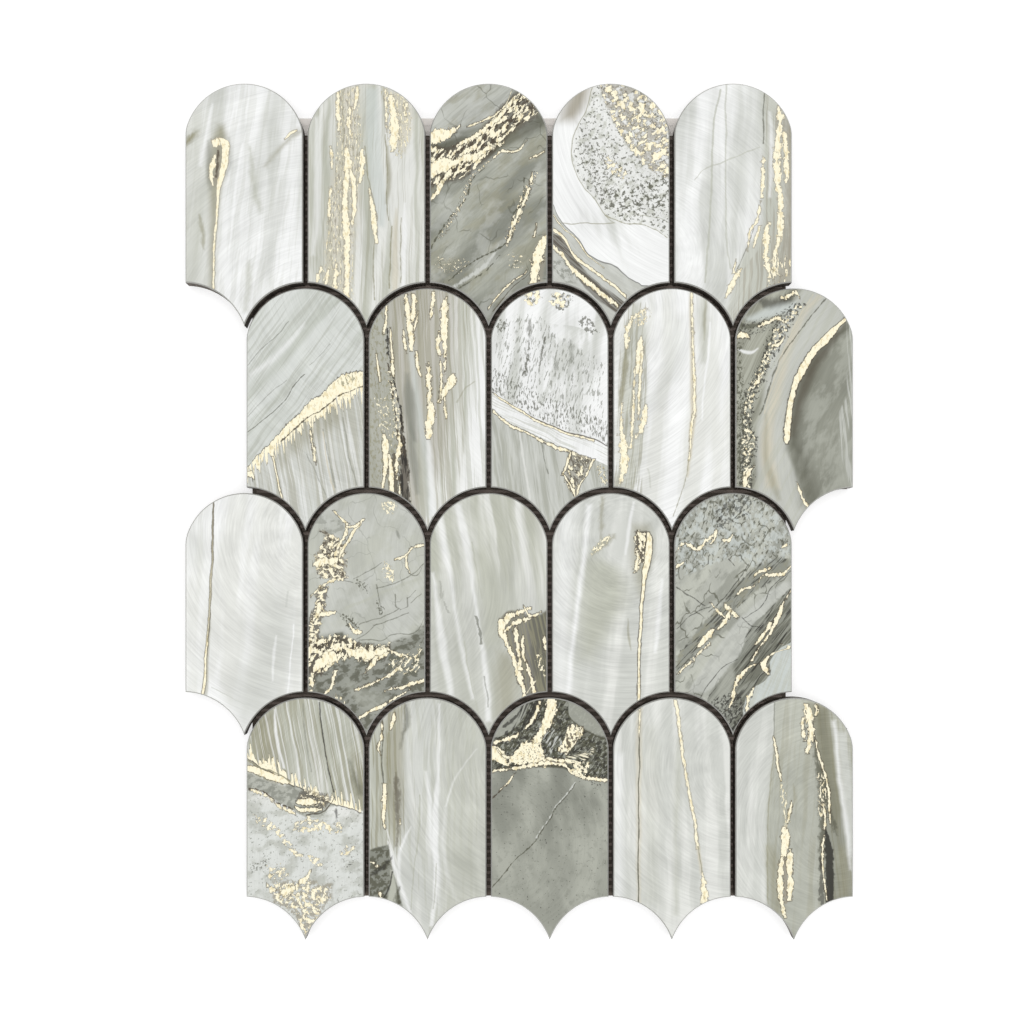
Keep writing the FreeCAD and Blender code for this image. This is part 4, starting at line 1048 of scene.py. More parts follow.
def paint_row3_5(face):
    """Broken grey-green strata with gold and brown seams running down to the left."""
    face.ground(STONE, SAGE, lean=-42, wide=6, long=30, low=0.36, high=0.62)
    face.fill(SILVER, face.everywhere(), 0.3, 0.25)
    face.mottle(SLATE, face.everywhere(), 5, 12, -42, 0.46, 0.64, 0.6)
    top = -face.side([(0, 30), (12, 26), (20, 24), (30, 26), (41, 22)])
    face.specks(top, 1.0, 2.4, -25, 0.545, MOSS, 0.8)
    face.mottle(MIST, top, 2.2, 3, 20, 0.46, 0.6, 0.7)
    face.specks(face.stroke([(14, 10, 4), (20, 6, 5), (27, 3, 4)]), 1.0, 1.6, -35, 0.49, INK, 0.7)
    face.cracks(face.everywhere(), 6, -38, 0.02, MOSS, 0.7)
    gully = face.stroke([(1, 60, 2.4), (8, 52, 4), (16, 44, 4.4), (24, 34, 4.4), (32, 28, 4),
                         (40, 25, 2)], 0.6)
    face.fill(SLATE, gully, 0.8, 0.75)
    face.mottle(OLIVE, gully, 2, 4, -45, 0.46, 0.62, 0.4)
    shelf = face.stroke([(8, 70, 3), (16, 60, 5), (23, 50, 5), (31, 40, 4), (41, 31, 3)])
    face.fill(SILVER, shelf, 0.8, 0.5)
    dark = face.side([(9, 76), (16, 65), (24, 54), (26, 48), (33, 41), (41, 33)], 0.3)
    face.fill(SLATE, dark, 0.5, 0.9)
    face.fill(MOSS, dark.least(face.side([(20, 62), (28, 52), (34, 40), (41, 34)])), 2, 0.55)
    face.bands(STONE, dark, lean=-38, wide=1.0, long=20, level=0.54, soft=0.04, strength=0.5)
    face.bands(INK, dark, lean=-38, wide=0.8, long=12, level=0.6, soft=0.03, strength=0.8)
    face.bands(INK, gully, lean=-44, wide=0.8, long=9, level=0.59, soft=0.03, strength=0.7)
    face.fill(STONE, face.stroke([(20, 60, 0.5), (18, 68, 2.4), (14, 76, 2)]), 1, 0.8)
    face.specks(face.side([(9, 76), (20, 70), (26, 76)]).least(dark), 0.9, 1.2, -30, 0.49, INK, 0.8)
    foot = face.side([(24, 76), (26, 70), (33, 64), (34, 58), (41, 52)])
    face.fill(MIST, foot, 0.3, 0.95)
    face.bands(SAGE, foot, lean=-20, wide=1.2, long=20, level=0.52, strength=0.5)
    face.brush((60, 10), 0.04)
    for crack in ([(0.6, 33), (6, 36.4), (11, 39.6)], [(0.6, 47.6), (8, 41.6), (13, 40)],
                  [(24, 44), (31, 39), (34, 33), (41, 27)], [(12, 42), (19, 35), (26, 25)],
                  [(10, 26), (12, 24.6), (12, 22)], [(19, 23), (21, 25.6)], [(8, 73), (16, 62), (22, 58)],
                  [(23.6, 43.6), (27, 46.4), (30.4, 47)], [(0.6, 61), (8, 53), (13, 49)]):
        face.line(INK, crack, 0.15, 0.7, 0.12)
    face.trim(BROWN, 0.5)
    face.vein([(0.4, 20.6, 0.2), (4, 17.8, 0.3), (8, 19.6, 0.6), (11, 17, 0.6), (14.6, 14.6, 0.5)], 0.6, 0.4)
    face.vein([(12.6, 18, 0.2), (14.4, 15.6, 0.4), (14.8, 12.8, 0.2)], 0.4, 0.4)
    face.vein([(16.6, 16.6, 0.3), (19, 16.4, 0.5), (20.4, 14.8, 0.2)], 0.4, 0.4)
    face.vein([(0.4, 26, 0.5), (2.4, 25, 0.5), (3.6, 24, 0.1)], 0.5)
    face.vein([(28, 29, 0.2), (30.4, 27.4, 0.4), (34, 26.4, 0.3)], 0.5, 0.4)
    face.vein([(29.4, 31, 0.2), (31.6, 28.6, 0.3), (36, 28.6, 0.5), (41, 25.8, 0.3)], 0.4, 0.4)
    face.vein([(21, 36, 0.2), (25, 33.4, 0.3), (28, 32.4, 0.2)], 0.5, 0.4)
    face.vein([(17.6, 39, 0.4), (19.6, 41.4, 1.0), (22.4, 43.4, 0.3)], 0.8)
    face.vein([(19.4, 41, 0.5), (18, 44.6, 0.8), (15.4, 47.6, 0.4)], 0.5)
    face.vein([(13.6, 47.6, 0.7), (11, 51, 1.3), (8.6, 54, 0.4)], 0.5)
    face.vein([(12.6, 53, 0.2), (9, 56, 0.4), (6.4, 59, 0.3)], 0.6)
    face.vein([(1, 63.4, 0.2), (5, 59.6, 0.3), (7.4, 57, 0.2)], 0.5)
    face.vein([(12.4, 38.4, 0.3), (14.6, 41, 0.4), (17.6, 43.4, 0.3)], 0.5, 0.4)
    face.vein([(41, 34, 0.1), (38, 39, 0.3), (36, 44, 0.7), (34, 48.6, 0.4), (30, 54, 0.3),
               (27, 59, 0.3)], 0.4)
    face.vein([(34, 45, 0.5), (31, 50, 0.7), (28.6, 53, 0.3)], 0.5)
    face.vein([(28, 60, 0.4), (24, 63, 0.7), (21.4, 68, 0.5), (20, 73, 0.4), (18.6, 76, 0.2)], 0.5)
    face.vein([(40.4, 53.6, 0.5), (37, 53.2, 0.5), (34, 56.4, 0.5), (31.4, 60, 1.0),
               (32.6, 63.6, 0.3)], 0.5, 0.6)
    face.vein([(28, 68, 0.5), (26, 72, 0.4), (25, 78, 0.2)], 0.5)
    face.vein([(39.6, 18, 0.3), (37.4, 19.6, 0.2)], 0.4, 0.4)


def paint_row4_1(face):
    """Leaning dark streaks above a spiky gold band, and pale speckled stone below it."""
    face.ground(PEARL, SAGE, lean=9, wide=3, long=80, fine=0.2, low=0.48, high=0.8, bend=1.5)
    face.wash(OLIVE, [(6, 4, 4), (8, 20, 5), (10, 30, 5)], 4, 0.75)
    face.wash(OLIVE, [(38, 20, 1), (40, 34, 2.5), (41, 40, 2)], 2, 0.6)
    face.bands(OLIVE, face.everywhere(), lean=10, wide=1.5, long=60, level=0.53, soft=0.06, strength=0.5)
    face.bands(WHITE, face.everywhere(), lean=10, wide=1.0, long=60, level=0.58, soft=0.04, strength=0.5)
    face.line(INK, [(25.4, 1.4), (26.6, 12), (28.6, 24), (30.4, 33)], 0.2, 0.8)
    face.line(SLATE, [(19.8, 2), (20.4, 12), (22.6, 26)], 0.2, 0.5)
    face.wash(WHITE, [(9.8, 4, 0.3), (10.6, 14, 0.5), (13.4, 25, 0.4)], 0.4, 0.8)
    face.wash(MOSS, [(36, 22, 0.2), (38, 28, 0.8), (40.4, 34, 1.4)], 1.2, 0.5, 0.4)
    edge = face.side([(0, 26), (6, 28.6), (13, 30.6), (18, 30), (24, 33), (30, 36.6),
                      (36, 38.4), (41, 39.6)])
    face.fill(PEARL, edge, 0.3)
    face.fill(MIST, edge.least(face.side([(0, 36), (41, 44)])), 3, 0.35)
    face.mottle(STONE, edge, 7, 5, 20, 0.43, 0.66, 0.6)
    pool = edge.least(-face.side([(0, 31.6), (6, 33), (10, 35.6), (16, 39), (24, 42), (30, 38), (34, 37)]))
    face.fill(STONE, pool, 0.4, 0.85)
    face.mottle(SLATE, pool, 3, 2, 20, 0.42, 0.58, 0.75)
    face.specks(edge, 1.3, 0.9, 30, 0.62, SLATE, 0.7)
    face.brush((70, 60), 0.045)
    for trail in ([(4, 42.4, 0.8), (9, 45, 1.4), (14, 50.6, 1.4), (19, 56, 0.6)],
                  [(17, 44.6, 1.2), (23, 44.6, 2.0), (26, 44.4, 1.2)],
                  [(27.6, 45.6, 1.0), (31, 45.6, 1.5), (33, 45, 0.8)],
                  [(8, 61, 1.2), (11, 61, 2.0), (14, 61.6, 0.8)],
                  [(22, 55, 0.8), (24.4, 57.6, 1.5), (27, 60, 0.5)],
                  [(33.6, 53.6, 0.6), (35.6, 53.4, 1.5), (37.6, 53, 0.5)]):
        face.froth(face.stroke(trail, 0.5) + 0.3, 1.9, 1.5, 30, 0.5, 0.45, BROWN, 0.75)
    face.specks(face.stroke([(34, 60, 0.8), (37, 57.6, 1.4), (39, 56, 0.6)]), 0.7, 0.7, 0, 0.53, INK, 0.7)
    face.specks(face.stroke([(1, 60, 2), (6, 58, 2), (9, 56, 1)]), 0.8, 0.8, 0, 0.53, MOSS, 0.7)
    tip = face.stroke([(10, 68, 3), (17, 70, 5), (21, 74, 9), (26, 70, 4), (29, 68, 2)], 0.8)
    face.mottle(TAUPE, tip + 1, 1.2, 1.2, 30, 0.4, 0.52, 0.8)
    face.froth(tip, 1.7, 1.9, 25, 0.505, 0.465, BROWN, 0.7)
    face.vein([(7, 65, 0.4), (8.4, 67, 0.9), (10.4, 67.6, 0.3)], 0.8)
    face.vein([(12, 68.6, 0.4), (14.6, 67.6, 1.6), (17, 66.4, 0.4)], 0.9)
    face.vein([(18.4, 64.6, 0.4), (21, 63, 1.2), (22.6, 60.6, 0.3)], 0.8)
    spikes = face.grain(0.9, 8, 8, 1, 0.5)
    crest = face.side([(0, 17.6), (3, 20), (6, 21), (10, 23.4), (14, 27.6), (18, 30), (22, 32), (26, 33.2),
                       (31, 35.6), (36, 36.4), (41, 39)])
    foot = face.side([(0, 20.6), (4, 23.4), (8, 25.4), (12, 28), (15, 30), (19, 31.4), (23, 34), (27, 35.6),
                      (31, 37.4), (36, 38.6), (41, 40.2)], 0.2)
    face.foil((crest + spikes * 13 - 6.2).least(-foot), 0.6, BROWN)
    face.vein([(0, 24.4, 1.0), (4, 25.6, 1.3), (9, 27.6, 1.3), (14.6, 29.4, 0.6)], 0.3)
    face.line(OLIVE, [(0, 21.4), (4, 24), (9, 25.6), (15, 29.2)], 0.22, 0.9)
    puddle = face.stroke([(17.6, 36, 0.6), (21, 35, 2.6), (26, 36, 2.6), (29.4, 35.4, 0.8)], 0.4)
    face.fill(BROWN, puddle, 0.5, 0.6)
    face.froth(puddle, 1.6, 0.8, 10, 0.56, 0.49)
    face.vein([(17.4, 36.6, 0.3), (21, 36.2, 1.1), (24.6, 36.6, 0.2)], 0.4, 0.5, BROWN)
    face.vein([(17, 38, 0.3), (21, 39.2, 0.7), (26.4, 39, 0.4)], 0.3, 0.5, BROWN)
    face.line(BROWN, [(21, 41), (26.6, 40), (29.4, 37.4), (30.8, 34.6)], 0.2, 0.9)
    face.line(BROWN, [(0.6, 32), (4, 32.4), (8, 34.4), (12, 37.4), (17, 39.4)], 0.22, 0.9, 0.4)
    face.vein([(1.4, 32.4, 0.3), (4.6, 33.4, 0.4), (8.4, 35.4, 0.3), (13, 39, 0.5),
               (17, 40.4, 0.4)], 0.6, 0.4)
    face.wash(INK, [(31.6, 38, 0.1), (31.6, 41, 0.3), (31.8, 44, 0.1)], 0.3, 0.7, 0.3)


def paint_row4_2(face):
    """Beige and green bands with gold on the left, brushed white with bent lines on the right."""
    face.ground(PEARL, SILVER, lean=3, wide=5, long=50, low=0.48, high=0.82)
    face.wash(SAGE, [(3, 8, 3), (4, 30, 4), (3, 60, 4)], 2, 0.85)
    face.wash(OLIVE, [(9, 3, 3), (9, 20, 3.4), (9.6, 40, 2.6), (9.6, 52, 0.6)], 1.6, 0.6)
    face.bands(OLIVE, -face.side([(13, 0), (13, 40), (10, 56)]), lean=1, wide=0.9, long=40, level=0.54,
               soft=0.04, strength=0.6)
    face.wash(MOSS, [(13, 2, 0.5), (13.6, 8, 1.0), (12, 13, 0.5), (11, 18, 0.2)], 0.8, 0.6, 0.3)
    face.line(MOSS, [(5, 5), (4.8, 20), (5, 32)], 0.18, 0.8)
    face.line(OLIVE, [(6.8, 12), (6.6, 24), (7.6, 30)], 0.2, 0.7)
    face.wash(SILVER, [(18, 6, 1.5), (18.4, 24, 2.4), (18, 40, 1), (17, 70, 0.6)], 2, 0.8)
    face.bands(SAGE, face.side([(13, 4), (13, 40), (20, 76)]), lean=1, wide=1.6, long=30,
               level=0.54, strength=0.45)
    face.wash(WHITE, [(24.8, 2, 0.3), (24.4, 24, 0.4), (23.4, 44, 1.0), (23.6, 60, 0.9),
                      (22, 80, 0.7)], 0.5, 0.9)
    face.wash(WHITE, [(20, 26, 0.2), (21.4, 36, 0.6), (21.8, 48, 0.7), (23.6, 57, 0.9), (24.6, 66, 0.5),
                      (24.6, 76, 0.1)], 0.8, 0.7)
    face.wash(WHITE, [(38, 18, 0.3), (33, 24, 0.35), (29.4, 30, 0.35), (27, 38, 0.3)], 0.4, 0.9)
    face.wash(WHITE, [(6.8, 50, 0.3), (9, 58, 0.6), (12, 68, 0.6), (14.6, 76, 0.5)], 0.6, 0.75)
    face.wash(WHITE, [(15, 45, 0.1), (12.4, 50, 0.4), (10.8, 57, 0.4), (11, 62, 0.1)], 0.6, 0.7)
    face.wash(WHITE, [(27, 38, 0.3), (26, 48, 0.5), (27.4, 60, 0.6), (31, 72, 0.4)], 1.0, 0.55)
    face.line(SAGE, [(18, 34), (17.6, 46), (16, 60), (14.6, 74)], 0.18, 0.8)
    face.line(SAGE, [(23.6, 58), (23.4, 66), (22.6, 74)], 0.2, 0.6)
    face.fill(SAGE, face.side([(26, 30), (26.6, 50), (24, 80)]), 6, 0.55)
    face.wash(STONE, [(29, 56, 2), (35, 59, 5), (38, 64, 4)], 4, 0.6)
    face.brush((62, 20), 0.075, 0.7)
    face.wash(BROWN, [(9.6, 26, 0.3), (10, 32, 0.9), (10.2, 38, 0.8), (10.2, 44, 0.4),
                      (9.8, 52, 0.2)], 0.6, 0.6, 0.4)
    face.vein([(11, 42.6, 0.1), (11, 44.4, 0.26)], 0.2, 0.3)
    corner = face.side([(0, 53.6), (4, 52), (7.6, 51)]).least(-face.side([(6.6, 50), (8, 58), (11.6, 72)]))
    face.fill(SLATE, corner, 0.4, 0.95)
    face.mottle(MOSS, corner, 2.4, 2, 40, 0.42, 0.54, 0.85)
    face.wash(INK, [(1, 62, 0.6), (4.6, 59.4, 0.9), (8.4, 56, 0.5)], 0.5, 0.65, 0.6)
    face.wash(SAGE, [(8, 60, 0.3), (8.4, 66, 1.2), (8, 76, 2)], 0.5, 0.95)
    face.line(INK, [(8.4, 60.6), (7.4, 65), (5.6, 70)], 0.24, 0.8)
    face.wash(MOSS, [(10.6, 66, 0.2), (10, 70, 0.9), (10, 74, 1)], 0.5, 0.7, 0.5)
    face.vein([(0.8, 57.4, 0.3), (2.4, 58.2, 0.5), (2.6, 59.6, 0.2)], 0.6, 0.4, BROWN)
    face.vein([(4, 68, 0.2), (4.4, 70.4, 0.5)], 0.5, 0.4, BROWN)
    face.vein([(8.8, 5, 0.3), (8.6, 8, 0.6), (7.6, 11, 0.3)], 0.3)
    face.vein([(4.6, 8, 0.1), (4.4, 14, 0.26), (3.4, 17, 0.3), (4.2, 20, 0.1)], 0.3)
    face.vein([(5.3, 30, 0.6), (5.5, 36, 0.6), (5.2, 42, 0.4), (6, 46, 0.2)], 0.3)
    face.line(PEARL, [(6.4, 46), (8, 52), (11, 60)], 0.2, 0.8)


def paint_row4_3(face):
    """Plain slate below a dark gold-laced cap, with one long crack."""
    face.ground(STONE, SLATE, lean=10, wide=10, long=20, low=0.34, high=0.68)
    face.fill(STONE, face.side([(0, 46), (20, 50), (41, 44)]), 12, 0.45)
    face.wash(SLATE, [(14, 34, 3), (18, 37, 7), (23, 33, 3)], 4, 0.55)
    face.mottle(SLATE, face.everywhere(), 2.6, 2.6, 0, 0.54, 0.66, 0.35)
    face.specks(face.everywhere(), 0.9, 0.9, 0, 0.66, INK, 0.7)
    face.brush((2, 52), 0.045)
    face.line(MOSS, [(29.4, 30), (26, 34.6), (22.6, 38.6), (21, 42), (17, 47.6), (16, 49.4)], 0.24, 0.9, 0.3)
    face.line(SILVER, [(29.4, 29.6), (26, 34.2), (22.4, 38.2), (20.8, 41.6), (17, 47), (16, 49)],
              0.14, 0.9, 0.3)
    face.line(MOSS, [(16, 49.6), (12.6, 53.4), (8, 57.4), (4, 62), (0.4, 66.6)], 0.18, 0.9, 0.2)
    cap = -face.side([(0, 26), (6, 25), (14, 24.2), (20, 24.4), (24, 24.6), (30, 27.4),
                      (36, 28.6), (41, 28.6)])
    face.fill(MOSS, cap, 0.3, 1.0)
    face.mottle(SLATE, cap, 3.5, 2, 40, 0.46, 0.62, 0.5)
    face.mottle(INK, cap, 2, 1.3, 20, 0.47, 0.58, 0.75)
    face.specks(cap, 0.7, 1.6, -40, 0.56, STONE, 0.7)
    face.fill(STONE, -face.side([(14, 0), (10.6, 8), (6, 12), (0, 15)]), 0.5, 0.8)
    face.wash(INK, [(4, 10.4, 0.3), (8, 7, 0.7), (11, 3.6, 0.3)], 0.3, 0.8, 0.5)
    face.bands(INK, face.stroke([(15, 0, 4), (12, 9, 3.4), (4, 13, 2)]), lean=-22, wide=1.0, long=20,
               level=0.5, soft=0.03, strength=0.8)
    eye = -face.side([(27, 2), (27.4, 6), (31, 9.6), (36, 12.6), (41, 14)])
    face.fill(STONE, eye.least(face.across - 26.5), 0.8, 0.75)
    face.line(MOSS, [(27, 6), (31, 10), (36, 13), (41, 14.6)], 0.3, 0.8)
    face.bands(SILVER, cap.least(face.stroke([(18, 8, 1), (21, 14, 3), (24, 20, 3)])), lean=-28, wide=0.8,
               long=6, level=0.55, soft=0.03, strength=0.8)
    face.trim(BROWN, 0.5)
    face.vein([(21, 0, 1.6), (21, 4, 1.7), (19.6, 8.6, 1.6), (17.4, 13, 1.3), (15, 17, 1.6),
               (14, 20, 2)], 0.9, 0.6)
    gold = face.stroke([(6.4, 21.4, 1.0), (9, 21, 2.2), (13, 19.6, 4.2), (16.6, 20, 3.6), (19, 22, 1.6),
                        (22, 23, 0.4)], 1.1)
    face.foil(gold)
    face.specks(gold - 0.4, 0.7, 0.6, 30, 0.575, BROWN, 0.8)
    face.vein([(0, 17, 1.6), (2, 20, 3.4), (4, 22.4, 1.6), (6, 23.6, 0.4)], 0.9, 0.6)
    face.vein([(1, 16, 0.3), (4, 15, 0.4), (8.6, 13.6, 0.6), (9.8, 12.8, 0.2)], 0.5)
    face.vein([(2, 18, 0.2), (4, 20, 0.3), (6.6, 20.6, 0.3)], 0.4)
    face.vein([(16.8, 1, 0.4), (16, 4.6, 0.5), (14.4, 8, 0.5), (12, 11, 0.3)], 0.4)
    face.vein([(0, 26, 0.2), (6, 24.8, 0.4), (12, 24.2, 0.5), (20, 22.8, 0.6), (24, 23.2, 0.6),
               (29, 26.4, 0.5), (34, 28, 0.5), (41, 28.8, 0.3)], 0.45)
    face.vein([(19, 21, 0.3), (23, 22, 0.5), (29, 22.6, 0.5), (31.4, 24, 0.3)], 0.4)
    knot = face.stroke([(23.6, 18, 0.6), (25.6, 17, 2.2), (27.6, 14, 4.6), (30, 12.6, 2.6),
                        (32.4, 11.6, 1)], 0.7)
    face.foil(knot)
    face.specks(knot + 0.2, 1.4, 1.6, 20, 0.49, BROWN, 0.9)
    face.froth(face.stroke([(28.6, 25, 1.4), (32, 25, 2.4), (34.6, 24, 1)], 0.5), 1.4, 1.4, 30,
               0.47, 0.43, INK)
    face.bands(GOLD, cap.least(face.stroke([(26, 22, 1), (30, 21.4, 1.4), (36, 18.6, 1.2)])), lean=70,
               wide=0.6, long=6, level=0.53, soft=0.03, strength=0.9)
    face.line(BROWN, [(8.6, 26), (6, 29.4), (3, 33), (0.2, 35)], 0.26, 0.9, 0.4)
    face.vein([(8, 26.6, 0.2), (5.6, 29.8, 0.3), (3, 32.6, 0.1)], 0.4, 0.4)
    face.specks(face.stroke([(34.6, 29.6, 0.6), (37, 30.4, 1.2), (39.4, 30, 0.6)]), 0.9, 0.9,
                30, 0.5, INK, 0.7)


def paint_row4_4(face):
    """Brushed white chip with an upright hairline and a slanting gold vein."""
    face.ground(PEARL, SILVER, lean=1, wide=6, low=0.37, high=0.64)
    face.wash(WHITE, [(2, 20, 1.5), (2, 50, 1.5), (2, 72, 1.5)], 2, 0.6)
    face.wash(SAGE, [(13, 10, 2), (13, 36, 3), (13, 72, 3)], 3, 0.35)
    face.wash(SAGE, [(22.8, 14, 0.5), (22.6, 32, 1.2), (22, 50, 0.6), (22, 76, 0.6)], 1.6, 0.6)
    face.wash(BEIGE, [(9.2, 3, 0.9), (9, 20, 1.0), (9, 50, 0.8), (8.8, 74, 0.6)], 0.8, 0.6)
    face.line(SILVER, [(25.6, 12), (24, 30), (22.6, 52)], 0.25, 0.7)
    face.brush((44, 24), 0.07, 0.6)
    face.line(MOSS, [(9.2, 3), (9.1, 14), (9, 40), (8.8, 60), (8.7, 74)], 0.16, 0.9, 0.05)
    face.vein([(9.2, 4, 0.2), (9.1, 9, 0.26), (9, 13.6, 0.1)], 0.2, 0.4, TAUPE)
    face.vein([(21.8, 1, 0.5), (22.8, 7, 0.45), (23.6, 14, 0.4), (24.6, 22, 0.3), (26, 30, 0.36),
               (27.6, 39, 0.4), (29, 47, 0.4), (29.8, 53, 0.4)], 0.25, 0.5, TAUPE)
    face.wash(BEIGE, [(29.8, 52, 0.6), (30.6, 58, 0.6), (31, 62, 0.5)], 0.5, 0.7)
    face.line(OLIVE, [(29.8, 52), (31, 59), (32.4, 68), (33, 72)], 0.16, 0.8)
    face.vein([(31.4, 61, 0.1), (31.6, 66, 0.8), (32, 70, 1.1), (32, 74, 0.9)], 0.5, 0.5, TAUPE)


def paint_row4_5(face):
    """White brushed left side, a grey-green wedge with gold spindles, and a black streak."""
    face.ground(PEARL, SILVER, lean=-4, wide=6, low=0.38, high=0.7)
    wedge = face.side([(13.6, 1), (13.4, 14), (12, 32), (11, 46), (11, 60), (11.6, 80)])
    face.fill(SAGE, wedge, 0.8, 0.8)
    face.fill(STONE, wedge.least(face.down * 0.3 - 5), 2, 0.6)
    face.bands(OLIVE, wedge, lean=-4, wide=2.4, long=50, level=0.56, soft=0.1, strength=0.3)
    face.wash(SAGE, [(32, 3, 4), (32, 30, 3), (34, 60, 4), (36, 76, 4)], 2.4, 0.8)
    face.wash(OLIVE, [(29, 2, 3), (31, 16, 3), (34, 34, 2.4), (35, 46, 0.6)], 1.6, 0.65)
    face.wash(OLIVE, [(12, 52, 1), (14, 62, 2.4), (15, 76, 2)], 2, 0.5)
    face.bands(OLIVE, face.side([(27, 0), (29, 40), (30, 60), (31, 80)]), lean=6, wide=0.9, long=50,
               level=0.53, soft=0.05, strength=0.4)
    face.wash(MOSS, [(30, 4, 2), (32, 24, 3), (34, 44, 4), (37, 76, 6)], 3, 0.45)
    face.wash(SILVER, [(37.4, 12, 1.6), (39.4, 34, 1.6), (40.8, 56, 0.6)], 0.9, 0.85)
    face.wash(WHITE, [(34.6, 8, 0.6), (36, 24, 0.7), (38.4, 42, 0.7), (40.4, 60, 0.4)], 0.9, 0.75)
    face.wash(OLIVE, [(37, 52, 1), (38, 60, 2), (38, 70, 2)], 2, 0.5)
    face.line(SLATE, [(13.6, 1.4), (13.6, 14)], 0.16, 0.7)
    face.line(OLIVE, [(13.4, 20), (11.8, 36), (11.2, 50), (11.4, 72)], 0.16, 0.6)
    face.wash(OLIVE, [(20.4, 30, 0.1), (20.8, 34, 0.4), (20, 38, 0.1)], 0.4, 0.5)
    face.brush((34, 44), 0.08, 0.6)
    face.wash(MOSS, [(27.6, 14, 0.2), (29, 24, 0.9), (30.6, 34, 1.6), (30.6, 46, 1.2), (30, 60, 0.6)],
              0.6, 0.75, 0.6)
    face.wash(INK, [(31.4, 46, 0.3), (32.6, 52, 1.2), (33, 60, 1.4), (33, 76, 1.5)], 0.3, 0.92, 0.3)
    face.wash(MOSS, [(33, 40, 0.4), (34.6, 44, 0.7), (35.4, 48, 0.2)], 0.6, 0.7, 0.6)
    face.wash(INK, [(30.2, 56, 0.3), (30, 64, 0.7), (30.2, 74, 0.8)], 0.4, 0.6, 0.6)
    face.froth(face.stroke([(29.4, 26, 0.8), (30.4, 34, 1.4), (30, 42, 1.0)]), 0.6, 1.6, 6,
               0.53, 0.47, BROWN)
    face.vein([(25, 2, 0.6), (25.8, 7, 1.3), (26.4, 12, 0.9), (26, 15, 0.8), (25.2, 19.6, 0.3)],
              0.7, 0.5, BROWN)
    face.vein([(23.8, 7, 0.3), (23.8, 12, 0.5), (24.2, 15, 0.2)], 0.5, 0.5, BROWN)
    face.vein([(28.6, 2, 0.5), (28, 6, 0.3)], 0.6, 0.5, BROWN)
    face.vein([(27.6, 13, 0.1), (29, 19, 0.3), (31, 26, 0.3), (32.6, 33, 0.4), (33, 40, 0.3),
               (33.2, 44, 0.1)], 0.3, 0.5, BROWN)
    face.vein([(30.4, 37, 0.1), (31.4, 42, 0.3), (31, 46, 0.2)], 0.3, 0.5, BROWN)
    face.vein([(31, 48, 0.1), (30.6, 55, 0.3), (30.8, 62, 0.2), (32, 71, 0.3)], 0.3, 0.4, BROWN)
    face.vein([(13.4, 13.6, 0.1), (14.2, 18, 0.4), (15, 24, 0.4), (15.8, 29, 0.2)], 0.25)
    face.froth(face.stroke([(16, 29, 0.4), (17, 36, 0.8), (17.8, 43, 0.9), (18, 46, 0.4)]), 0.6, 2, 6,
               0.52, 0.46, OLIVE)
    face.vein([(19.8, 36, 0.1), (19, 40, 0.4), (18.2, 44, 0.1)], 0.4)
    face.wash(TAUPE, [(17.4, 54, 0.4), (17.4, 62, 0.8), (17.6, 72, 0.4)], 0.3, 0.9, 0.3)
    face.vein([(17, 45, 0.4), (17.6, 49, 1.3), (17.2, 53, 1.0), (16.4, 57, 0.6)], 0.5)
    face.vein([(19, 53, 0.5), (19, 60, 0.9), (19.2, 66, 0.9), (18.8, 71, 0.4)], 0.4)
    face.vein([(16.4, 56, 0.4), (15.8, 62, 0.9), (15.6, 68, 0.9), (16.4, 73, 0.6), (17.2, 77, 0.2)], 0.5)


PAINTERS = (
    (paint_row1_1, paint_row1_2, paint_row1_3, paint_row1_4, paint_row1_5),
    (paint_row2_1, paint_row2_2, paint_row2_3, paint_row2_4, paint_row2_5),
    (paint_row3_1, paint_row3_2, paint_row3_3, paint_row3_4, paint_row3_5),
    (paint_row4_1, paint_row4_2, paint_row4_3, paint_row4_4, paint_row4_5),
)


def print_chips():
    """Give each chip a print of its own."""
    for row, painters in enumerate(PAINTERS, 1):
        for number, paint in enumerate(painters, 1):
            name = f"chip_row{row}_{number}"
            face = Print(name)
            paint(face)
            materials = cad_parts[name].data.materials
            materials.clear()
            materials.append(face.finish())


def plain_material(name, colour):
    """A matt material of one colour."""
    material = bpy.data.materials.new(name)
    material.use_nodes = True
    shader = material.node_tree.nodes["Principled BSDF"]
    shader.inputs["Base Color"].default_value = colour
    shader.inputs["Roughness"].default_value = MATT
    return material


def outline_edges(node):
    """The edges round a flat node's underside, as pairs of (x, y) corners."""
    mesh = node.data
    uses = {}
    for polygon in mesh.polygons:
        if polygon.normal.z < -0.5:
            for start, end in polygon.edge_keys:
                ends = [tuple(round(value, 6) for value in mesh.vertices[i].co.xy) for i in (start, end)]
                key = tuple(sorted(ends))
                uses[key] = uses.get(key, 0) + 1
    return [key for key, number in uses.items() if number == 1]


def runs(edges, place, across):
    """Where a straight thread at this place enters and leaves the outline."""
    along = 1 - across
    crossings = sorted(start[along] for start, end in edges
                       if min(start[across], end[across]) < place < max(start[across], end[across]))
    return zip(crossings[::2], crossings[1::2])


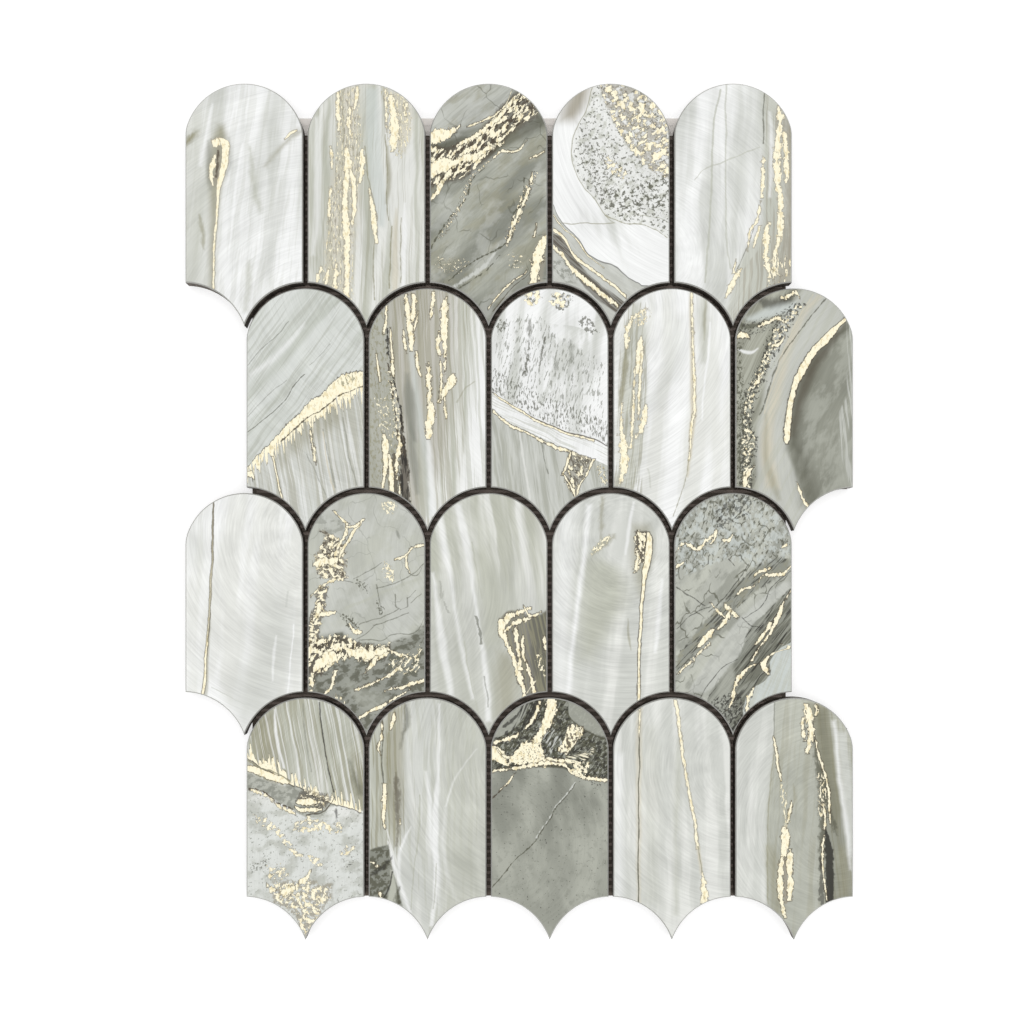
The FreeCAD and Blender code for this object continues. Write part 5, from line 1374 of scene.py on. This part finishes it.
def net_material(name, colour, underside):
    """A matt material whose colour is painted shade for the joints, paler along the net's upper edge and of
    another colour underneath.
    """
    material = plain_material(name, colour)
    tree = material.node_tree

    def part_of(vector, axis):
        parts = tree.nodes.new("ShaderNodeSeparateXYZ")
        connect(tree, vector, parts.inputs[0])
        return Field(tree, parts.outputs[axis])

    upper_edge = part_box("mesh_backing")[1].y - NET_TOP_EDGE_WIDTH
    height = part_of(tree.nodes.new("ShaderNodeTexCoord").outputs["Object"], "Y")
    upward = part_of(tree.nodes.new("ShaderNodeNewGeometry").outputs["True Normal"], "Z")
    for share, paint in ((height.spread(upper_edge, upper_edge + NET_TOP_EDGE_SOFT), NET_TOP_EDGE),
                         ((-upward).spread(*BACK_TILT), underside)):
        mix = tree.nodes.new("ShaderNodeMix")
        mix.data_type = "RGBA"
        connect(tree, share, mix.inputs["Factor"])
        connect(tree, colour, mix.inputs["A"])
        connect(tree, paint, mix.inputs["B"])
        colour = mix.outputs["Result"]
    connect(tree, colour, tree.nodes["Principled BSDF"].inputs["Base Color"])
    return material


def choose(pieces):
    """Select these pieces only, the last of them as the active one."""
    bpy.ops.object.select_all(action="DESELECT")
    for piece in pieces:
        piece.select_set(True)
    bpy.context.view_layer.objects.active = pieces[-1]


def lay_film(net, low, high):
    """The film of glue that fills the net near its top, dark as painted shade in the joints: a thinner copy
    of its sheet, a little wider.
    """
    choose([net])
    bpy.ops.object.duplicate()
    film = bpy.context.object
    film.data.materials.clear()
    film.data.materials.append(net_material("net_glue_shaded", NET_GLUE_SHADED, NET_GLUE_BACK))
    film.scale.x = 1 + NET_GLUE_OVER * 2 / (high.x - low.x)
    film.scale.y = 1 + NET_GLUE_BELOW / (high.y - low.y)
    film.scale.z = NET_GLUE_SHARE
    film.location.y = (1 - film.scale.y) * high.y
    film.location.z = (high.z - low.z) * (NET_GLUE_TOP - NET_GLUE_SHARE)
    return film


def weave_net():
    """The net: flat threads both ways in a film of glue, joined into one piece."""
    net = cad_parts["mesh_backing"]
    low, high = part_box("mesh_backing")
    edges = outline_edges(net)
    depth = high.z - low.z
    pieces = [lay_film(net, low, high)]
    # The threads are dark as painted shade, and pale along the top edge and underneath.
    fibre = net_material("glass_fibre", NET_THREAD_SHADED, NET_TOP_EDGE)
    # This many threads to half a chip's step leave every upright joint between two threads.
    half_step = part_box("chip_row2_1")[0].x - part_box("chip_row1_1")[0].x
    spacing = half_step / NET_UPRIGHTS_PER_HALF_CHIP
    upright = (0, spacing, spacing / 2, NET_THREAD_WIDTH, 0.0, NET_GLUE_TOP - NET_GLUE_SHARE / 2)
    crosswise = (1, NET_PITCH, 0.0, NET_CROSS_THREAD_WIDTH, NET_CROSS_FOOT, 1.0)
    for across, pitch, first, width, bottom, top in (upright, crosswise):
        lowest = math.ceil((low[across] + width / 2 - first) / pitch)
        highest = math.floor((high[across] - width / 2 - first) / pitch)
        for number in range(lowest, highest + 1):
            place = first + number * pitch
            for start, end in runs(edges, place, across):
                centre = [0, 0, low.z + depth * (bottom + top) / 2]
                size = [0, 0, depth * (top - bottom)]
                centre[across], centre[1 - across] = place, (start + end) / 2
                size[across], size[1 - across] = width, end - start
                bpy.ops.mesh.primitive_cube_add(size=1, location=centre, scale=size)
                thread = bpy.context.object
                thread.data.materials.append(fibre)
                pieces.append(thread)
    choose(pieces)
    bpy.ops.object.join()
    bpy.ops.object.transform_apply(location=True, rotation=True, scale=True)
    woven = bpy.context.object
    woven.name = "net_threads"
    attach(woven, "root")
    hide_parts("mesh_backing")


def make_camera():
    """Look straight down on the sheet, with its place in the picture as in the photograph."""
    faces_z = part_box("chip_row1_1")[1].z
    view_width = IMAGE_SIZE * MM_PER_PIXEL * MM
    camera = bpy.data.objects.new("camera", bpy.data.cameras.new("camera"))
    bpy.context.scene.collection.objects.link(camera)
    bpy.context.scene.camera = camera
    camera.data.sensor_width = SENSOR_WIDTH_MM
    camera.data.lens = SENSOR_WIDTH_MM * CAMERA_HEIGHT / view_width
    camera.data.clip_start = CAMERA_HEIGHT / 100
    camera.data.clip_end = CAMERA_HEIGHT * 100
    foot_x = (CAMERA_FOOT_PIXEL[0] - SHEET_CENTRE_PIXEL[0]) * MM_PER_PIXEL * MM
    foot_y = (SHEET_CENTRE_PIXEL[1] - CAMERA_FOOT_PIXEL[1]) * MM_PER_PIXEL * MM
    camera.location = (foot_x, foot_y, faces_z + CAMERA_HEIGHT)
    camera.data.shift_y = (CAMERA_FOOT_PIXEL[1] - IMAGE_SIZE / 2) / IMAGE_SIZE


def make_floor():
    """A wide pale floor just under the net."""
    bpy.ops.object.select_all(action="DESELECT")
    bpy.ops.mesh.primitive_plane_add(size=FLOOR_WIDTH, location=(0, 0, 0))
    floor = bpy.context.object
    floor.name = "floor"
    material = plain_material("pale_floor", FLOOR_GREY)
    shader = material.node_tree.nodes["Principled BSDF"]
    shader.inputs["Emission Color"].default_value = FLOOR_GLOW
    shader.inputs["Emission Strength"].default_value = FLOOR_GLOW_STRENGTH
    floor.data.materials.append(material)


def make_lights():
    """A soft room, brightest overhead and darker near the horizon."""
    world = bpy.data.worlds.new("studio")
    bpy.context.scene.world = world
    world.use_nodes = True
    tree = world.node_tree
    background = tree.nodes["Background"]
    coordinates = tree.nodes.new("ShaderNodeTexCoord")
    parts = tree.nodes.new("ShaderNodeSeparateXYZ")
    tree.links.new(coordinates.outputs["Generated"], parts.inputs[0])
    ramp = tree.nodes.new("ShaderNodeValToRGB")
    tree.links.new(parts.outputs["Z"], ramp.inputs["Fac"])
    stops = ramp.color_ramp.elements
    for height, _ in ROOM_LEVELS[1:-1]:
        stops.new(height)
    for stop, (height, level) in zip(stops, ROOM_LEVELS):
        stop.position = height
        stop.color = (level, level, level, 1)
    tree.links.new(ramp.outputs["Color"], background.inputs["Color"])
    background.inputs["Strength"].default_value = ROOM_STRENGTH


bpy.context.scene.view_settings.view_transform = "Standard"
make_camera()
make_floor()
make_lights()
print_chips()
weave_net()
